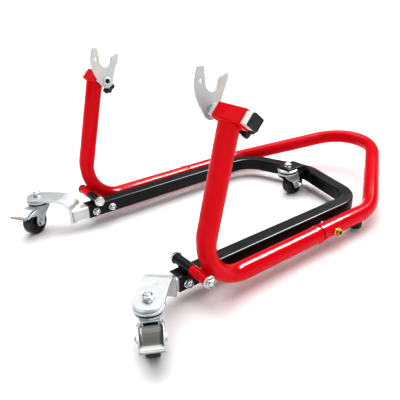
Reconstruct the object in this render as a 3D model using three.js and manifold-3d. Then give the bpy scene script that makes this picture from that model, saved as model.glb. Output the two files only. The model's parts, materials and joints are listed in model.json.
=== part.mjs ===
// Motorcycle rear paddock stand on a three-wheeled dolly.
// Millimetres, +Z up, floor at z = 0. +X is the left side seen from behind the handle, +Y is the
// handle end. Pieces are built in a design frame whose symmetry plane is x = 0 and whose y = 0 is
// the open front end of the dolly legs; the whole model is then moved so that the origin is the
// bottom centre of its bounding box.
import * as THREE from 'three';
import { mergeVertices } from 'three/addons/utils/BufferGeometryUtils.js';
import Module from 'manifold-3d';

const wasm = await Module();
wasm.setup();

// ---------------------------------------------------------------- driving dimensions
const GAP = 0.3; // air left between pieces that touch, are welded or are bolted together

// dolly frame: square tube, two legs and a shallow V across the back
const SQUARE = 30;
const SQUARE_WALL = 2;
const LEG_X = 175;
const FRAME_Z = 38;
const LEG_BACK_Y = 480.5;
const APEX_Y = 534;
const CORNER_RADIUS = 70;
const APEX_RADIUS = 40;
const FRAME_TOP = FRAME_Z + SQUARE / 2;

// pivot between dolly and stand
const PIVOT_Y = 22.3;
const SLEEVE_RADIUS = 9;
const PIVOT_Z = FRAME_TOP + SLEEVE_RADIUS + GAP;
const PIVOT_BORE = 5.3;
const DOLLY_SLEEVE_X = [151, 195];
const STAND_SLEEVE_X = [195.6, 238.5];
const PIVOT_BOLT_RADIUS = 5;

// stand: round tube, upright, bend and run on each side, and the handle behind
const TUBE_RADIUS = 17;
const TUBE_BORE = 14.6;
const FLATTENED = 0.91; // across a bend the tube is squeezed to this much of its width
const SIDE_X = 220;
const RUN_Z = 36.2;
const UPRIGHT_FOOT_Y = 9.5;
const LEAN = THREE.MathUtils.degToRad(14.5);
const SPLAY = THREE.MathUtils.degToRad(0.8);
const BEND_RADIUS = 79.2;
const JOINT_Y = 306;
const SPIGOT_RADIUS = 14;
const SPIGOT_BORE = 11.5;
const SPIGOT_LENGTH = 80;
const HANDLE_BORE = 14.8;
const HANDLE_BEND_Y = 476;
const HANDLE_APEX_Y = 801;
const HANDLE_APEX_Z = 112;
const HANDLE_BEND_RADIUS = 106;
const HANDLE_APEX_RADIUS = 107;
const HANDLE_BOLT_Y = 342;
const FOOT_Y = 428;
const FOOT_BOTTOM = 9;
const FOOT_TOP = 26;

// swingarm adapters at the top of the uprights
const SOCKET_SIZE = 25;
const SOCKET_BORE = 20.6;
const SOCKET_X = [196, 255];
const SOCKET_Y = 84;
const SOCKET_Z = 310.5;
const SOCKET_TURN = THREE.MathUtils.degToRad(41);
const BAR_SIZE = 20;
const BAR_BORE = 16;
const BAR_X = [184, 268];
const CAP_THICKNESS = 5.5;
const PLATE_X = [172.5, 177.5];
const KNOB_DISTANCE = 31;
const BOSS_RADIUS = 8;

// casters
const CASTER_TOP = 72;
const WHEEL_RADIUS = 27.5;
const WHEEL_WIDTH = 22;
const TRAIL = 22;
const FORK_HALF_GAP = 13.5;
const FORK_SHEET = 2.5;
const AXLE_RADIUS = 4;
const STUD_RADIUS = 5;
const FRONT_CASTER = [235.5, -84];
const REAR_CASTER = [0, 455];
const PEDAL_WIDTH = 36;
const PEDAL_PIN = [20, 49]; // from the swivel axis and above the floor
const PEDAL_PRESSED = { l: 12, r: 0 };
const CASTER_YAW = { l: -29, r: -57.5, rear: 93 };

// front caster arms: bent flat bar welded to a square stub
const ARM_THICKNESS = 6;
const ARM_WIDTH = 46;
const ARM_BACK_U = 17;
const ARM_BEND_RADIUS = 25;
const ARM_BOTTOM = 24;
const STUB_SIZE = 25.4;
const STUB_WALL = 2.5;
const STUB_END_Y = 85;
const ARM_BOLT_Y = { front: 16, rear: 55 };
const ARM_BOLT_Z = 36;
const ARM_BOLT_RADIUS = 4;

// rear caster bracket
const BRACKET_WIDTH = 38;
const BRACKET_THICKNESS = 4;
const BRACKET_FRONT_Y = 438;

// ---------------------------------------------------------------- materials
function finish(name, color, roughness, metalness) {
  return new THREE.MeshStandardMaterial({ name, color, roughness, metalness });
}
const RED = finish('red_powder_coat', 0xd8081c, 0.28, 0.0);
const BLACK = finish('black_powder_coat', 0x17171a, 0.45, 0.0);
const ZINC = finish('zinc_plate', 0xb9c0c4, 0.32, 0.9);
const BLUE_ZINC = finish('zinc_fastener', 0xc4c9cc, 0.25, 0.95);
const YELLOW_ZINC = finish('yellow_zinc', 0xc9a24a, 0.3, 0.9);
const RUBBER = finish('rubber', 0x141415, 0.8, 0.0);
const WHEEL_BLACK = finish('wheel_plastic', 0x1a1a1c, 0.55, 0.0);
const CAP_BLACK = finish('cap_plastic', 0x1c1d22, 0.6, 0.0);

// ---------------------------------------------------------------- solids
function solid(geometry) {
  const bare = geometry.clone();
  bare.deleteAttribute('normal');
  bare.deleteAttribute('uv');
  const merged = mergeVertices(bare, 1e-4);
  return new wasm.Manifold(new wasm.Mesh({
    numProp: 3,
    vertProperties: new Float32Array(merged.attributes.position.array),
    triVerts: new Uint32Array(merged.index.array),
  }));
}

function geometryOf(manifold) {
  const mesh = manifold.getMesh();
  const geometry = new THREE.BufferGeometry();
  geometry.setAttribute('position', new THREE.BufferAttribute(mesh.vertProperties, 3));
  geometry.setIndex(new THREE.BufferAttribute(mesh.triVerts, 1));
  geometry.computeVertexNormals();
  return geometry;
}

function join(first, ...others) {
  return others.reduce((sum, other) => sum.add(other), first);
}

function cut(first, ...others) {
  return others.reduce((rest, other) => rest.subtract(other), first);
}

/** Mirror a geometry in the plane x = 0, keeping its faces pointing out. */
function mirrored(geometry) {
  const copy = geometry.clone();
  copy.scale(-1, 1, 1);
  const index = copy.index.array;
  for (let i = 0; i < index.length; i += 3) {
    [index[i], index[i + 1]] = [index[i + 1], index[i]];
  }
  copy.computeVertexNormals();
  return copy;
}

/** Box from its lowest and highest corners. */
function block(low, high) {
  const size = high.map((value, i) => value - low[i]);
  const geometry = new THREE.BoxGeometry(...size);
  geometry.translate(...low.map((value, i) => value + size[i] / 2));
  return solid(geometry);
}

/** Round or hexagonal bar along X from x0 to x1, centred on y, z. */
function barX(radius, x0, x1, y = 0, z = 0, sides = 12, endRadius = radius) {
  const geometry = new THREE.CylinderGeometry(endRadius, radius, x1 - x0, sides);
  geometry.rotateZ(-Math.PI / 2);
  geometry.translate((x0 + x1) / 2, y, z);
  return solid(geometry);
}

/** The same along Y. */
function barY(radius, y0, y1, x = 0, z = 0, sides = 16) {
  const geometry = new THREE.CylinderGeometry(radius, radius, y1 - y0, sides);
  geometry.translate(x, (y0 + y1) / 2, z);
  return solid(geometry);
}

/** The same along Z. */
function barZ(radius, z0, z1, x = 0, y = 0, sides = 16) {
  const geometry = new THREE.CylinderGeometry(radius, radius, z1 - z0, sides);
  geometry.rotateX(Math.PI / 2);
  geometry.translate(x, y, (z0 + z1) / 2);
  return solid(geometry);
}

/** Prism of an outline given as [a, b] pairs, extruded by depth along its third axis. */
function prism(outline, depth, holes = []) {
  const shape = new THREE.Shape(outline.map(([a, b]) => new THREE.Vector2(a, b)));
  for (const hole of holes) {
    shape.holes.push(new THREE.Path(hole.map(([a, b]) => new THREE.Vector2(a, b))));
  }
  return new THREE.ExtrudeGeometry(shape, { depth, steps: 1, bevelEnabled: false });
}

/** Prism of a (y, z) outline between x0 and x1. */
function prismX(outline, x0, x1, holes = []) {
  const geometry = prism(outline, x1 - x0, holes);
  const toX = new THREE.Matrix4().makeBasis(
    new THREE.Vector3(0, 1, 0),
    new THREE.Vector3(0, 0, 1),
    new THREE.Vector3(1, 0, 0),
  );
  geometry.applyMatrix4(toX);
  geometry.translate(x0, 0, 0);
  return solid(geometry);
}

/** Points of an arc, both ends included. */
function arc(cx, cy, radius, from, to, steps) {
  const points = [];
  for (let i = 0; i <= steps; i += 1) {
    const angle = THREE.MathUtils.degToRad(from + ((to - from) * i) / steps);
    points.push([cx + radius * Math.cos(angle), cy + radius * Math.sin(angle)]);
  }
  return points;
}

/** Solid of revolution about Z from [radius, z] pairs. */
function turned(profile, sides = 20) {
  const geometry = new THREE.LatheGeometry(profile.map(([r, z]) => new THREE.Vector2(r, z)), sides);
  geometry.rotateX(Math.PI / 2);
  return solid(geometry);
}

/** A path that visits its stations exactly, each with its own direction. */
class Route extends THREE.Curve {
  constructor(stations) {
    super();
    this.stations = stations;
  }

  stationAt(u) {
    return this.stations[Math.round(u * (this.stations.length - 1))];
  }

  getPoint(u, target = new THREE.Vector3()) {
    return target.copy(this.stationAt(u).point);
  }

  getPointAt(u, target) {
    return this.getPoint(u, target);
  }

  getTangentAt(u, target = new THREE.Vector3()) {
    return target.copy(this.stationAt(u).tangent);
  }
}

/** Straight stretches between corners, with an arc of the given radius at each inner corner. */
function bentRoute(corners, radii, bendSteps) {
  const points = corners.map((corner) => new THREE.Vector3(...corner));
  const direction = (i) => points[i + 1].clone().sub(points[i]).normalize();
  const stations = [{ point: points[0], tangent: direction(0) }];
  for (let i = 1; i < points.length - 1; i += 1) {
    const into = direction(i - 1);
    const out = direction(i);
    const angle = into.angleTo(out);
    const radius = radii[i - 1];
    const side = out.clone().addScaledVector(into, -out.dot(into)).normalize();
    const start = points[i].clone().addScaledVector(into, -radius * Math.tan(angle / 2));
    const centre = start.clone().addScaledVector(side, radius);
    for (let k = 0; k <= bendSteps[i - 1]; k += 1) {
      const turn = (angle * k) / bendSteps[i - 1];
      const point = centre.clone();
      point.addScaledVector(side, -radius * Math.cos(turn));
      point.addScaledVector(into, radius * Math.sin(turn));
      const tangent = into.clone().multiplyScalar(Math.cos(turn));
      tangent.addScaledVector(side, Math.sin(turn));
      const inward = side.clone().multiplyScalar(Math.cos(turn));
      inward.addScaledVector(into, -Math.sin(turn));
      const fromEnds = Math.min(k, bendSteps[i - 1] - k);
      stations.push({ point, tangent, inward, squeeze: Math.min(1, fromEnds / 1.5) });
    }
  }
  stations.push({ point: points.at(-1), tangent: direction(points.length - 2) });
  return new Route(stations);
}

function swept(outline, route) {
  const shape = new THREE.Shape(outline.map(([a, b]) => new THREE.Vector2(a, b)));
  const steps = route.stations.length - 1;
  return solid(new THREE.ExtrudeGeometry(shape, { steps, extrudePath: route, bevelEnabled: false }));
}

/** Round tube along a route, flattened a little across each bend. */
function roundSwept(radius, sides, route) {
  const positions = [];
  const normal = new THREE.Vector3(1, 0, 0);
  for (const station of route.stations) {
    normal.addScaledVector(station.tangent, -normal.dot(station.tangent)).normalize();
    const binormal = station.tangent.clone().cross(normal);
    for (const [a, b] of circleOutline(radius, sides)) {
      const offset = normal.clone().multiplyScalar(a).addScaledVector(binormal, b);
      if (station.inward) {
        const lost = (1 - FLATTENED) * station.squeeze * offset.dot(station.inward);
        offset.addScaledVector(station.inward, -lost);
      }
      positions.push(...station.point.clone().add(offset).toArray());
    }
  }
  const index = [];
  const last = (route.stations.length - 1) * sides;
  for (let j = 0; j < sides; j += 1) {
    const next = (j + 1) % sides;
    for (let ring = 0; ring < last; ring += sides) {
      index.push(ring + j, ring + next, ring + sides + j);
      index.push(ring + next, ring + sides + next, ring + sides + j);
    }
  }
  for (let j = 1; j < sides - 1; j += 1) {
    index.push(0, j + 1, j, last, last + j, last + j + 1);
  }
  const geometry = new THREE.BufferGeometry();
  geometry.setAttribute('position', new THREE.Float32BufferAttribute(positions, 3));
  geometry.setIndex(index);
  return solid(geometry);
}

function circleOutline(radius, sides) {
  return arc(0, 0, radius, 0, 360, sides).slice(0, sides);
}

function squareOutline(size, chamfer = 0) {
  const h = size / 2;
  if (chamfer === 0) {
    return [[h, h], [-h, h], [-h, -h], [h, -h]];
  }
  const c = h - chamfer;
  return [[h, c], [c, h], [-c, h], [-h, c], [-h, -c], [-c, -h], [c, -h], [h, -c]];
}

// ---------------------------------------------------------------- dolly
function frameRoute(frontY) {
  return bentRoute(
    [
      [LEG_X, frontY, FRAME_Z],
      [LEG_X, LEG_BACK_Y, FRAME_Z],
      [0, APEX_Y, FRAME_Z],
      [-LEG_X, LEG_BACK_Y, FRAME_Z],
      [-LEG_X, frontY, FRAME_Z],
    ],
    [CORNER_RADIUS, APEX_RADIUS, CORNER_RADIUS],
    [6, 4, 6],
  );
}

function dollyFrame() {
  const outside = swept(squareOutline(SQUARE, 3), frameRoute(0));
  const inside = swept(squareOutline(SQUARE - 2 * SQUARE_WALL), frameRoute(-1));
  const holes = [];
  for (const side of [1, -1]) {
    for (const y of Object.values(ARM_BOLT_Y)) {
      const centre = side * LEG_X;
      holes.push(barX(ARM_BOLT_RADIUS + GAP, centre - SQUARE, centre + SQUARE, y, ARM_BOLT_Z, 10));
    }
  }
  return geometryOf(cut(outside, inside, ...holes));
}

/** Short tube along X. */
function sleeve([x0, x1], radius, bore) {
  return geometryOf(cut(
    barX(radius, x0, x1, PIVOT_Y, PIVOT_Z, 20),
    barX(bore, x0 - 1, x1 + 1, PIVOT_Y, PIVOT_Z, 12),
  ));
}

/** Raised plate that carries the rear caster, cranked down to the inside of the V. */
function rearBracket() {
  const top = CASTER_TOP + BRACKET_THICKNESS;
  const half = BRACKET_WIDTH / 2;
  const profile = [
    [BRACKET_FRONT_Y, CASTER_TOP],
    [493, CASTER_TOP],
    [507, FRAME_TOP - 1],
    [507, FRAME_Z - 7],
    [521, FRAME_Z - 7],
    [521, FRAME_TOP - 4],
    [511, FRAME_TOP + GAP],
    [497, top],
    [BRACKET_FRONT_Y, top],
  ];
  const tubeOutside = swept(squareOutline(SQUARE + 2 * GAP), frameRoute(0));
  const studHole = barZ(STUD_RADIUS + GAP, CASTER_TOP - 1, top + 1, ...REAR_CASTER);
  return geometryOf(cut(prismX(profile, -half, half), tubeOutside, studHole));
}

/**
 * Left arm. u runs outboard and forward at 45 degrees from the end of the dolly leg, and the bent
 * bar lies in the u-z plane; its width runs across that plane.
 */
function casterArm() {
  const outer = ARM_BEND_RADIUS + ARM_THICKNESS;
  const centreU = ARM_BACK_U + outer;
  const centreZ = CASTER_TOP + ARM_THICKNESS - outer;
  const diagonal = Math.SQRT1_2;
  const dx = FRONT_CASTER[0] - LEG_X;
  const dy = FRONT_CASTER[1];
  const stemU = (dx - dy) * diagonal;
  const stemV = (dx + dy) * diagonal;
  const endU = stemU + ARM_WIDTH / 2;
  const profile = [
    [ARM_BACK_U, ARM_BOTTOM],
    [ARM_BACK_U + ARM_THICKNESS, ARM_BOTTOM],
    ...arc(centreU, centreZ, ARM_BEND_RADIUS, 180, 90, 6),
    [endU, CASTER_TOP],
    [endU, CASTER_TOP + ARM_THICKNESS],
    ...arc(centreU, centreZ, outer, 90, 180, 6),
  ];
  const intoArm = new THREE.Matrix4().makeBasis(
    new THREE.Vector3(diagonal, -diagonal, 0),
    new THREE.Vector3(0, 0, 1),
    new THREE.Vector3(-diagonal, -diagonal, 0),
  );
  const bar = prism(profile, ARM_WIDTH);
  bar.translate(0, 0, -stemV - ARM_WIDTH / 2);
  bar.applyMatrix4(intoArm);
  bar.translate(LEG_X, 0, 0);
  const roundEnd = [
    [0, -ARM_WIDTH],
    ...arc(stemU, 0, ARM_WIDTH / 2, -90, 90, 10),
    [0, ARM_WIDTH],
  ];
  const outlineBlock = prism(roundEnd, 100);
  const outlineTurn = new THREE.Matrix4().makeRotationZ(-Math.PI / 4);
  outlineBlock.translate(0, stemV, 0);
  outlineBlock.applyMatrix4(outlineTurn);
  outlineBlock.translate(LEG_X, 0, 0);
  const plate = solid(bar).intersect(solid(outlineBlock));

  const h = STUB_SIZE / 2;
  const frontY = -60;
  const stub = block([LEG_X - h, frontY, FRAME_Z - h], [LEG_X + h, STUB_END_Y, FRAME_Z + h]);
  const beyond = new THREE.BoxGeometry(80, 200, 80);
  beyond.translate(40 + ARM_BACK_U + ARM_THICKNESS / 2, 0, FRAME_Z);
  beyond.rotateZ(-Math.PI / 4);
  beyond.translate(LEG_X, 0, 0);
  const i = h - STUB_WALL;
  const hollow = block([LEG_X - i, 0, FRAME_Z - i], [LEG_X + i, STUB_END_Y + 1, FRAME_Z + i]);
  const boltHoles = Object.values(ARM_BOLT_Y).map((y) => (
    barX(ARM_BOLT_RADIUS + GAP, LEG_X - SQUARE, LEG_X + SQUARE, y, ARM_BOLT_Z, 10)));
  const studHole = barZ(STUD_RADIUS + GAP, CASTER_TOP - 1, CASTER_TOP + 10, ...FRONT_CASTER);
  return geometryOf(cut(join(plate, cut(stub, solid(beyond))), hollow, studHole, ...boltHoles));
}

// ---------------------------------------------------------------- fasteners, all along X
/** Flanged hexagon bolt: underside of the flange at x = 0, shank towards +X. */
function flangeBolt(radius, length, headHeight) {
  return geometryOf(join(
    barX(radius * 2.15, -1.6, 0, 0, 0, 16),
    barX(radius * 1.85, -headHeight, -1, 0, 0, 6),
    barX(radius, -1, length, 0, 0, 12),
  ));
}

/** Flanged nut: its flange bears on x = 0 and the nut stands out towards +X. */
function flangeNut(radius, height) {
  return geometryOf(cut(
    join(barX(radius * 2.15, 0, 1.6, 0, 0, 16), barX(radius * 1.85, 1, height, 0, 0, 6)),
    barX(radius + GAP, -1, height + 1, 0, 0, 12),
  ));
}

// ---------------------------------------------------------------- stand
function sideTube() {
  const line = (endY, topZ) => {
    const height = topZ - RUN_Z;
    return bentRoute(
      [
        [height * Math.tan(SPLAY), UPRIGHT_FOOT_Y + height * Math.tan(LEAN), topZ],
        [0, UPRIGHT_FOOT_Y, RUN_Z],
        [0, endY, RUN_Z],
      ],
      [BEND_RADIUS],
      [10],
    );
  };
  const outside = roundSwept(TUBE_RADIUS, 20, line(JOINT_Y, SOCKET_Z - 5));
  const inside = roundSwept(TUBE_BORE, 12, line(JOINT_Y - 20, SOCKET_Z));
  const spigotEnd = JOINT_Y + SPIGOT_LENGTH;
  const spigot = barY(SPIGOT_RADIUS, JOINT_Y - 8, spigotEnd, 0, RUN_Z, 20);
  const spigotBore = barY(SPIGOT_BORE, JOINT_Y - 22, spigotEnd + 1, 0, RUN_Z, 12);
  const boltHole = barX(ARM_BOLT_RADIUS + GAP, -30, 30, HANDLE_BOLT_Y, RUN_Z, 10);
  const saddle = new THREE.BoxGeometry(80, SOCKET_SIZE + 2 * GAP, SOCKET_SIZE + 2 * GAP);
  const bossRoom = new THREE.CylinderGeometry(BOSS_RADIUS + GAP, BOSS_RADIUS + GAP, 50, 16);
  bossRoom.translate((SOCKET_X[0] + SOCKET_X[1]) / 2 - SIDE_X, 25, 0);
  for (const room of [saddle, bossRoom]) {
    room.rotateX(-SOCKET_TURN);
    room.translate(0, SOCKET_Y, SOCKET_Z);
  }
  const rooms = [saddle, bossRoom].map(solid);
  return geometryOf(cut(join(outside, spigot), inside, spigotBore, boltHole, ...rooms));
}

function handle() {
  const line = (frontY) => bentRoute(
    [
      [SIDE_X, frontY, RUN_Z],
      [SIDE_X, HANDLE_BEND_Y, RUN_Z],
      [0, HANDLE_APEX_Y, HANDLE_APEX_Z],
      [-SIDE_X, HANDLE_BEND_Y, RUN_Z],
      [-SIDE_X, frontY, RUN_Z],
    ],
    [HANDLE_BEND_RADIUS, HANDLE_APEX_RADIUS, HANDLE_BEND_RADIUS],
    [6, 12, 6],
  );
  const outside = roundSwept(TUBE_RADIUS, 20, line(JOINT_Y + GAP));
  const inside = roundSwept(HANDLE_BORE, 12, line(JOINT_Y - 1));
  const boltHoles = [1, -1].map((side) => barX(
    ARM_BOLT_RADIUS + GAP,
    side * SIDE_X - 30,
    side * SIDE_X + 30,
    HANDLE_BOLT_Y,
    RUN_Z,
    10,
  ));
  return geometryOf(cut(outside, inside, ...boltHoles));
}

/** Rubber bumper under the handle leg, shaped to the tube on top. */
function rubberFoot() {
  const body = turned([
    [0, FOOT_BOTTOM],
    [11, FOOT_BOTTOM],
    [13, FOOT_BOTTOM + 3],
    [13, FOOT_TOP],
    [0, FOOT_TOP],
  ], 16);
  const tube = barY(TUBE_RADIUS + GAP, -30, 30, 0, RUN_Z, 20);
  return geometryOf(cut(body, tube));
}

// ---------------------------------------------------------------- adapters, in the socket's frame
// The frame is centred on the socket axis and turned with it, so the square faces lie along its
// own y and z. x is measured in the design frame, positive on the left side.
function squareX(size, x0, x1) {
  const h = size / 2;
  return block([x0, -h, -h], [x1, h, h]);
}

function adapterSocket() {
  const [x0, x1] = SOCKET_X;
  const boss = new THREE.CylinderGeometry(BOSS_RADIUS, BOSS_RADIUS, 8, 12);
  boss.translate((x0 + x1) / 2, SOCKET_SIZE / 2 + 3.8, 0);
  const studHole = barY(4 + GAP, 0, 40, (x0 + x1) / 2, 0, 12);
  const tube = cut(squareX(SOCKET_SIZE, x0, x1), squareX(SOCKET_BORE, x0 - 1, x1 + 1));
  return geometryOf(cut(join(tube, cut(solid(boss), squareX(SOCKET_BORE, x0, x1))), studHole));
}

function adapterBar() {
  const [x0, x1] = BAR_X;
  return geometryOf(cut(
    squareX(BAR_SIZE, x0, x1),
    squareX(BAR_BORE, x0 + 28, x1 + 1),
    barX(STUD_RADIUS + GAP, x0 - 1, x0 + 30, 0, 0, 12),
  ));
}

function endCap() {
  const x0 = BAR_X[1] + GAP;
  return geometryOf(join(
    squareX(BAR_SIZE + 0.6, x0, x0 + CAP_THICKNESS),
    squareX(BAR_BORE - 2 * GAP, x0 - 12, x0 + 1),
  ));
}

/** Clamping knob: star head on a threaded stud, along +Y of the socket's frame. */
function clampKnob() {
  const lobes = 5;
  const outline = [];
  for (let i = 0; i < lobes; i += 1) {
    const turn = (360 / lobes) * i;
    const angle = THREE.MathUtils.degToRad(turn);
    const centre = [10.5 * Math.cos(angle), 10.5 * Math.sin(angle)];
    outline.push(...arc(...centre, 5, turn - 75, turn + 75, 4));
  }
  const head = prism(outline, 12);
  head.rotateX(-Math.PI / 2);
  head.translate(0, KNOB_DISTANCE, 0);
  const studStart = BAR_SIZE / 2 + GAP;
  return geometryOf(join(
    solid(head),
    barY(7, KNOB_DISTANCE - 8, KNOB_DISTANCE + 1, 0, 0, 12),
    barY(4, studStart, KNOB_DISTANCE, 0, 0, 12),
  ));
}

/** Fork plate outline about its bolt hole, as (y, z): long front prong, short rear prong. */
function forkOutline() {
  return [
    ...arc(0, 0, 15, 200, 345, 6),
    [20, 18],
    [34, 45],
    ...arc(28.6, 47.6, 4.5, -10, 130, 4),
    [14, 40],
    ...arc(0.5, 33.5, 9, 10, -190, 8),
    [-11.4, 52],
    ...arc(-18, 62, 6.4, 0, 170, 5),
    [-29.5, 44],
    [-26.5, 20],
  ];
}

function forkPlate() {
  const holes = [
    arc(0, 0, STUD_RADIUS + GAP, 0, 360, 12).slice(0, 12),
    arc(-18, 46, 3, 0, 360, 8).slice(0, 8),
  ];
  return geometryOf(prismX(forkOutline(), ...PLATE_X, holes));
}

/** Socket-head bolt from the inboard face of the fork plate into the bar. */
function forkBolt() {
  const x0 = PLATE_X[0] - GAP;
  return geometryOf(cut(
    join(
      barX(8.5, x0 - 4.5, x0, 0, 0, 16, 9.5),
      barX(STUD_RADIUS, x0 - 1, BAR_X[0] + 22, 0, 0, 12),
    ),
    barX(3.4, x0 - 6, x0 - 1.5, 0, 0, 6),
  ));
}

function forkNut() {
  return geometryOf(cut(
    barX(9.8, PLATE_X[1] + GAP, BAR_X[0] - GAP, 0, 0, 6),
    barX(STUD_RADIUS + GAP, PLATE_X[1], BAR_X[0], 0, 0, 12),
  ));
}

// ---------------------------------------------------------------- casters
// Local frame: swivel axis is the Z axis, floor at z = 0, wheel trails towards +X.
/** Threaded stud with the fixed upper ball race. */
function casterHead(plateTop) {
  const underside = CASTER_TOP - GAP;
  return geometryOf(turned([
    [0, 62.6],
    [14, 62.6],
    [21, 64.5],
    [24, 66],
    [24, 69.4],
    [21, underside],
    [STUD_RADIUS, underside],
    [STUD_RADIUS, plateTop + 10.5],
    [0, plateTop + 10.5],
  ], 20));
}

function casterNut(z0) {
  return geometryOf(cut(
    join(barZ(10.5, z0, z0 + 2, 0, 0, 16), barZ(9, z0 + 1.5, z0 + 8, 0, 0, 6)),
    barZ(STUD_RADIUS + GAP, z0 - 1, z0 + 9, 0, 0, 12),
  ));
}

/** Pressed fork: lower race, top plate and two cheeks that reach down to the axle. */
function casterFork() {
  const race = turned([[0, 56.5], [19, 56.5], [22.5, 58.2], [22.5, 60.2], [13, 62.2], [0, 62.2]]);
  const outside = FORK_HALF_GAP + FORK_SHEET;
  const cheek = [
    [-20, 59],
    [-17, 52],
    [9, 25],
    ...arc(TRAIL, WHEEL_RADIUS, 10, 235, 345, 4),
    [29, 45],
    [23, 59],
  ];
  const slab = prism(cheek, 2 * outside);
  slab.rotateX(Math.PI / 2);
  slab.translate(0, outside, 0);
  const space = block([-40, -FORK_HALF_GAP, 0], [60, FORK_HALF_GAP, 56.5]);
  const axleHole = new THREE.CylinderGeometry(AXLE_RADIUS + GAP, AXLE_RADIUS + GAP, 60, 12);
  axleHole.translate(TRAIL, 0, WHEEL_RADIUS);
  const pin = new THREE.CylinderGeometry(2.6, 2.6, 2 * outside + 7, 10);
  pin.translate(PEDAL_PIN[0], 0, PEDAL_PIN[1]);
  const pins = cut(solid(pin), space);
  return geometryOf(join(cut(join(solid(slab), race), space, solid(axleHole)), pins));
}

/** Wheel with a crowned tread and a dished hub, about a Y axle at the origin. */
function casterWheel() {
  const half = WHEEL_WIDTH / 2;
  const bore = AXLE_RADIUS + 0.4;
  const profile = [
    [bore, -half - 1],
    [9, -half - 1],
    [10, -half + 3],
    [20, -half + 3],
    [21.5, -half],
    [25, -half],
    [WHEEL_RADIUS - 0.7, -half + 4],
    [WHEEL_RADIUS, -half + 8],
    [WHEEL_RADIUS, half - 8],
    [WHEEL_RADIUS - 0.7, half - 4],
    [25, half],
    [21.5, half],
    [20, half - 3],
    [10, half - 3],
    [9, half + 1],
    [bore, half + 1],
    [bore, -half - 1],
  ];
  const geometry = new THREE.LatheGeometry(profile.map(([r, z]) => new THREE.Vector2(r, z)), 28);
  return geometryOf(solid(geometry));
}

/** Axle bolt with its head on one side and its nut on the other, about Y. */
function casterAxle() {
  const seat = FORK_HALF_GAP + FORK_SHEET + GAP;
  const shank = barY(AXLE_RADIUS, -seat - 1, seat + 8, 0, 0, 12);
  const head = barY(7.5, -seat - 5.3, -seat, 0, 0, 6);
  const nut = join(barY(8.2, seat, seat + 1.4, 0, 0, 12), barY(7.2, seat + 1, seat + 6.2, 0, 0, 6));
  return geometryOf(join(shank, head, nut));
}

/**
 * Brake pedal: pressed tread with a rolled lip, hung on ears outside the fork cheeks. Its frame is
 * centred on the hinge pin, which lies along Y.
 */
function brakePedal() {
  const half = PEDAL_WIDTH / 2;
  const tread = [
    [9, 9.6],
    [15.6, 9.8],
    [30, 5.6],
    [42, 1.8],
    [48.8, 2],
    [51.5, 4.4],
    [50, 6],
    [47.8, 4.2],
    [42.4, 4],
    [30.6, 7.8],
    [16, 12],
    [9, 11.8],
  ];
  const ear = [
    ...arc(0, 0, 5.2, 120, 300, 6),
    [14, -1.5],
    [30, 3],
    [42, 2.2],
    [42.4, 3.6],
    [30.6, 7.4],
    [16, 11.6],
    [9, 11.4],
  ];
  const upright = (outline, y0, y1) => {
    const geometry = prism(outline, y1 - y0);
    geometry.rotateX(Math.PI / 2);
    geometry.translate(0, y1, 0);
    return solid(geometry);
  };
  const ears = [upright(ear, -half, -half + 2), upright(ear, half - 2, half)];
  return geometryOf(cut(join(upright(tread, -half, half), ...ears), barY(2.9, -30, 30, 0, 0, 10)));
}

// ---------------------------------------------------------------- assembly
const model = new THREE.Group();

function add(parent, name, geometry, material, position = [0, 0, 0], rotation = [0, 0, 0]) {
  const mesh = new THREE.Mesh(geometry, material.clone());
  mesh.name = name;
  mesh.position.set(...position);
  mesh.rotation.set(...rotation);
  parent.add(mesh);
}

function addCaster(tag, [x, y], plateTop, hasBrake) {
  const caster = new THREE.Group();
  caster.position.set(x, y, 0);
  caster.rotation.z = THREE.MathUtils.degToRad(CASTER_YAW[tag]);
  model.add(caster);
  add(caster, `caster_head_${tag}`, casterHead(plateTop), ZINC);
  add(caster, `caster_nut_${tag}`, casterNut(plateTop + GAP), BLUE_ZINC);
  add(caster, `caster_fork_${tag}`, casterFork(), ZINC);
  add(caster, `caster_wheel_${tag}`, casterWheel(), WHEEL_BLACK, [TRAIL, 0, WHEEL_RADIUS]);
  add(caster, `caster_axle_${tag}`, casterAxle(), BLUE_ZINC, [TRAIL, 0, WHEEL_RADIUS]);
  if (hasBrake) {
    const pressed = THREE.MathUtils.degToRad(PEDAL_PRESSED[tag]);
    const [pinX, pinZ] = PEDAL_PIN;
    add(caster, `brake_pedal_${tag}`, brakePedal(), ZINC, [pinX, 0, pinZ], [0, pressed, 0]);
  }
}

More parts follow.
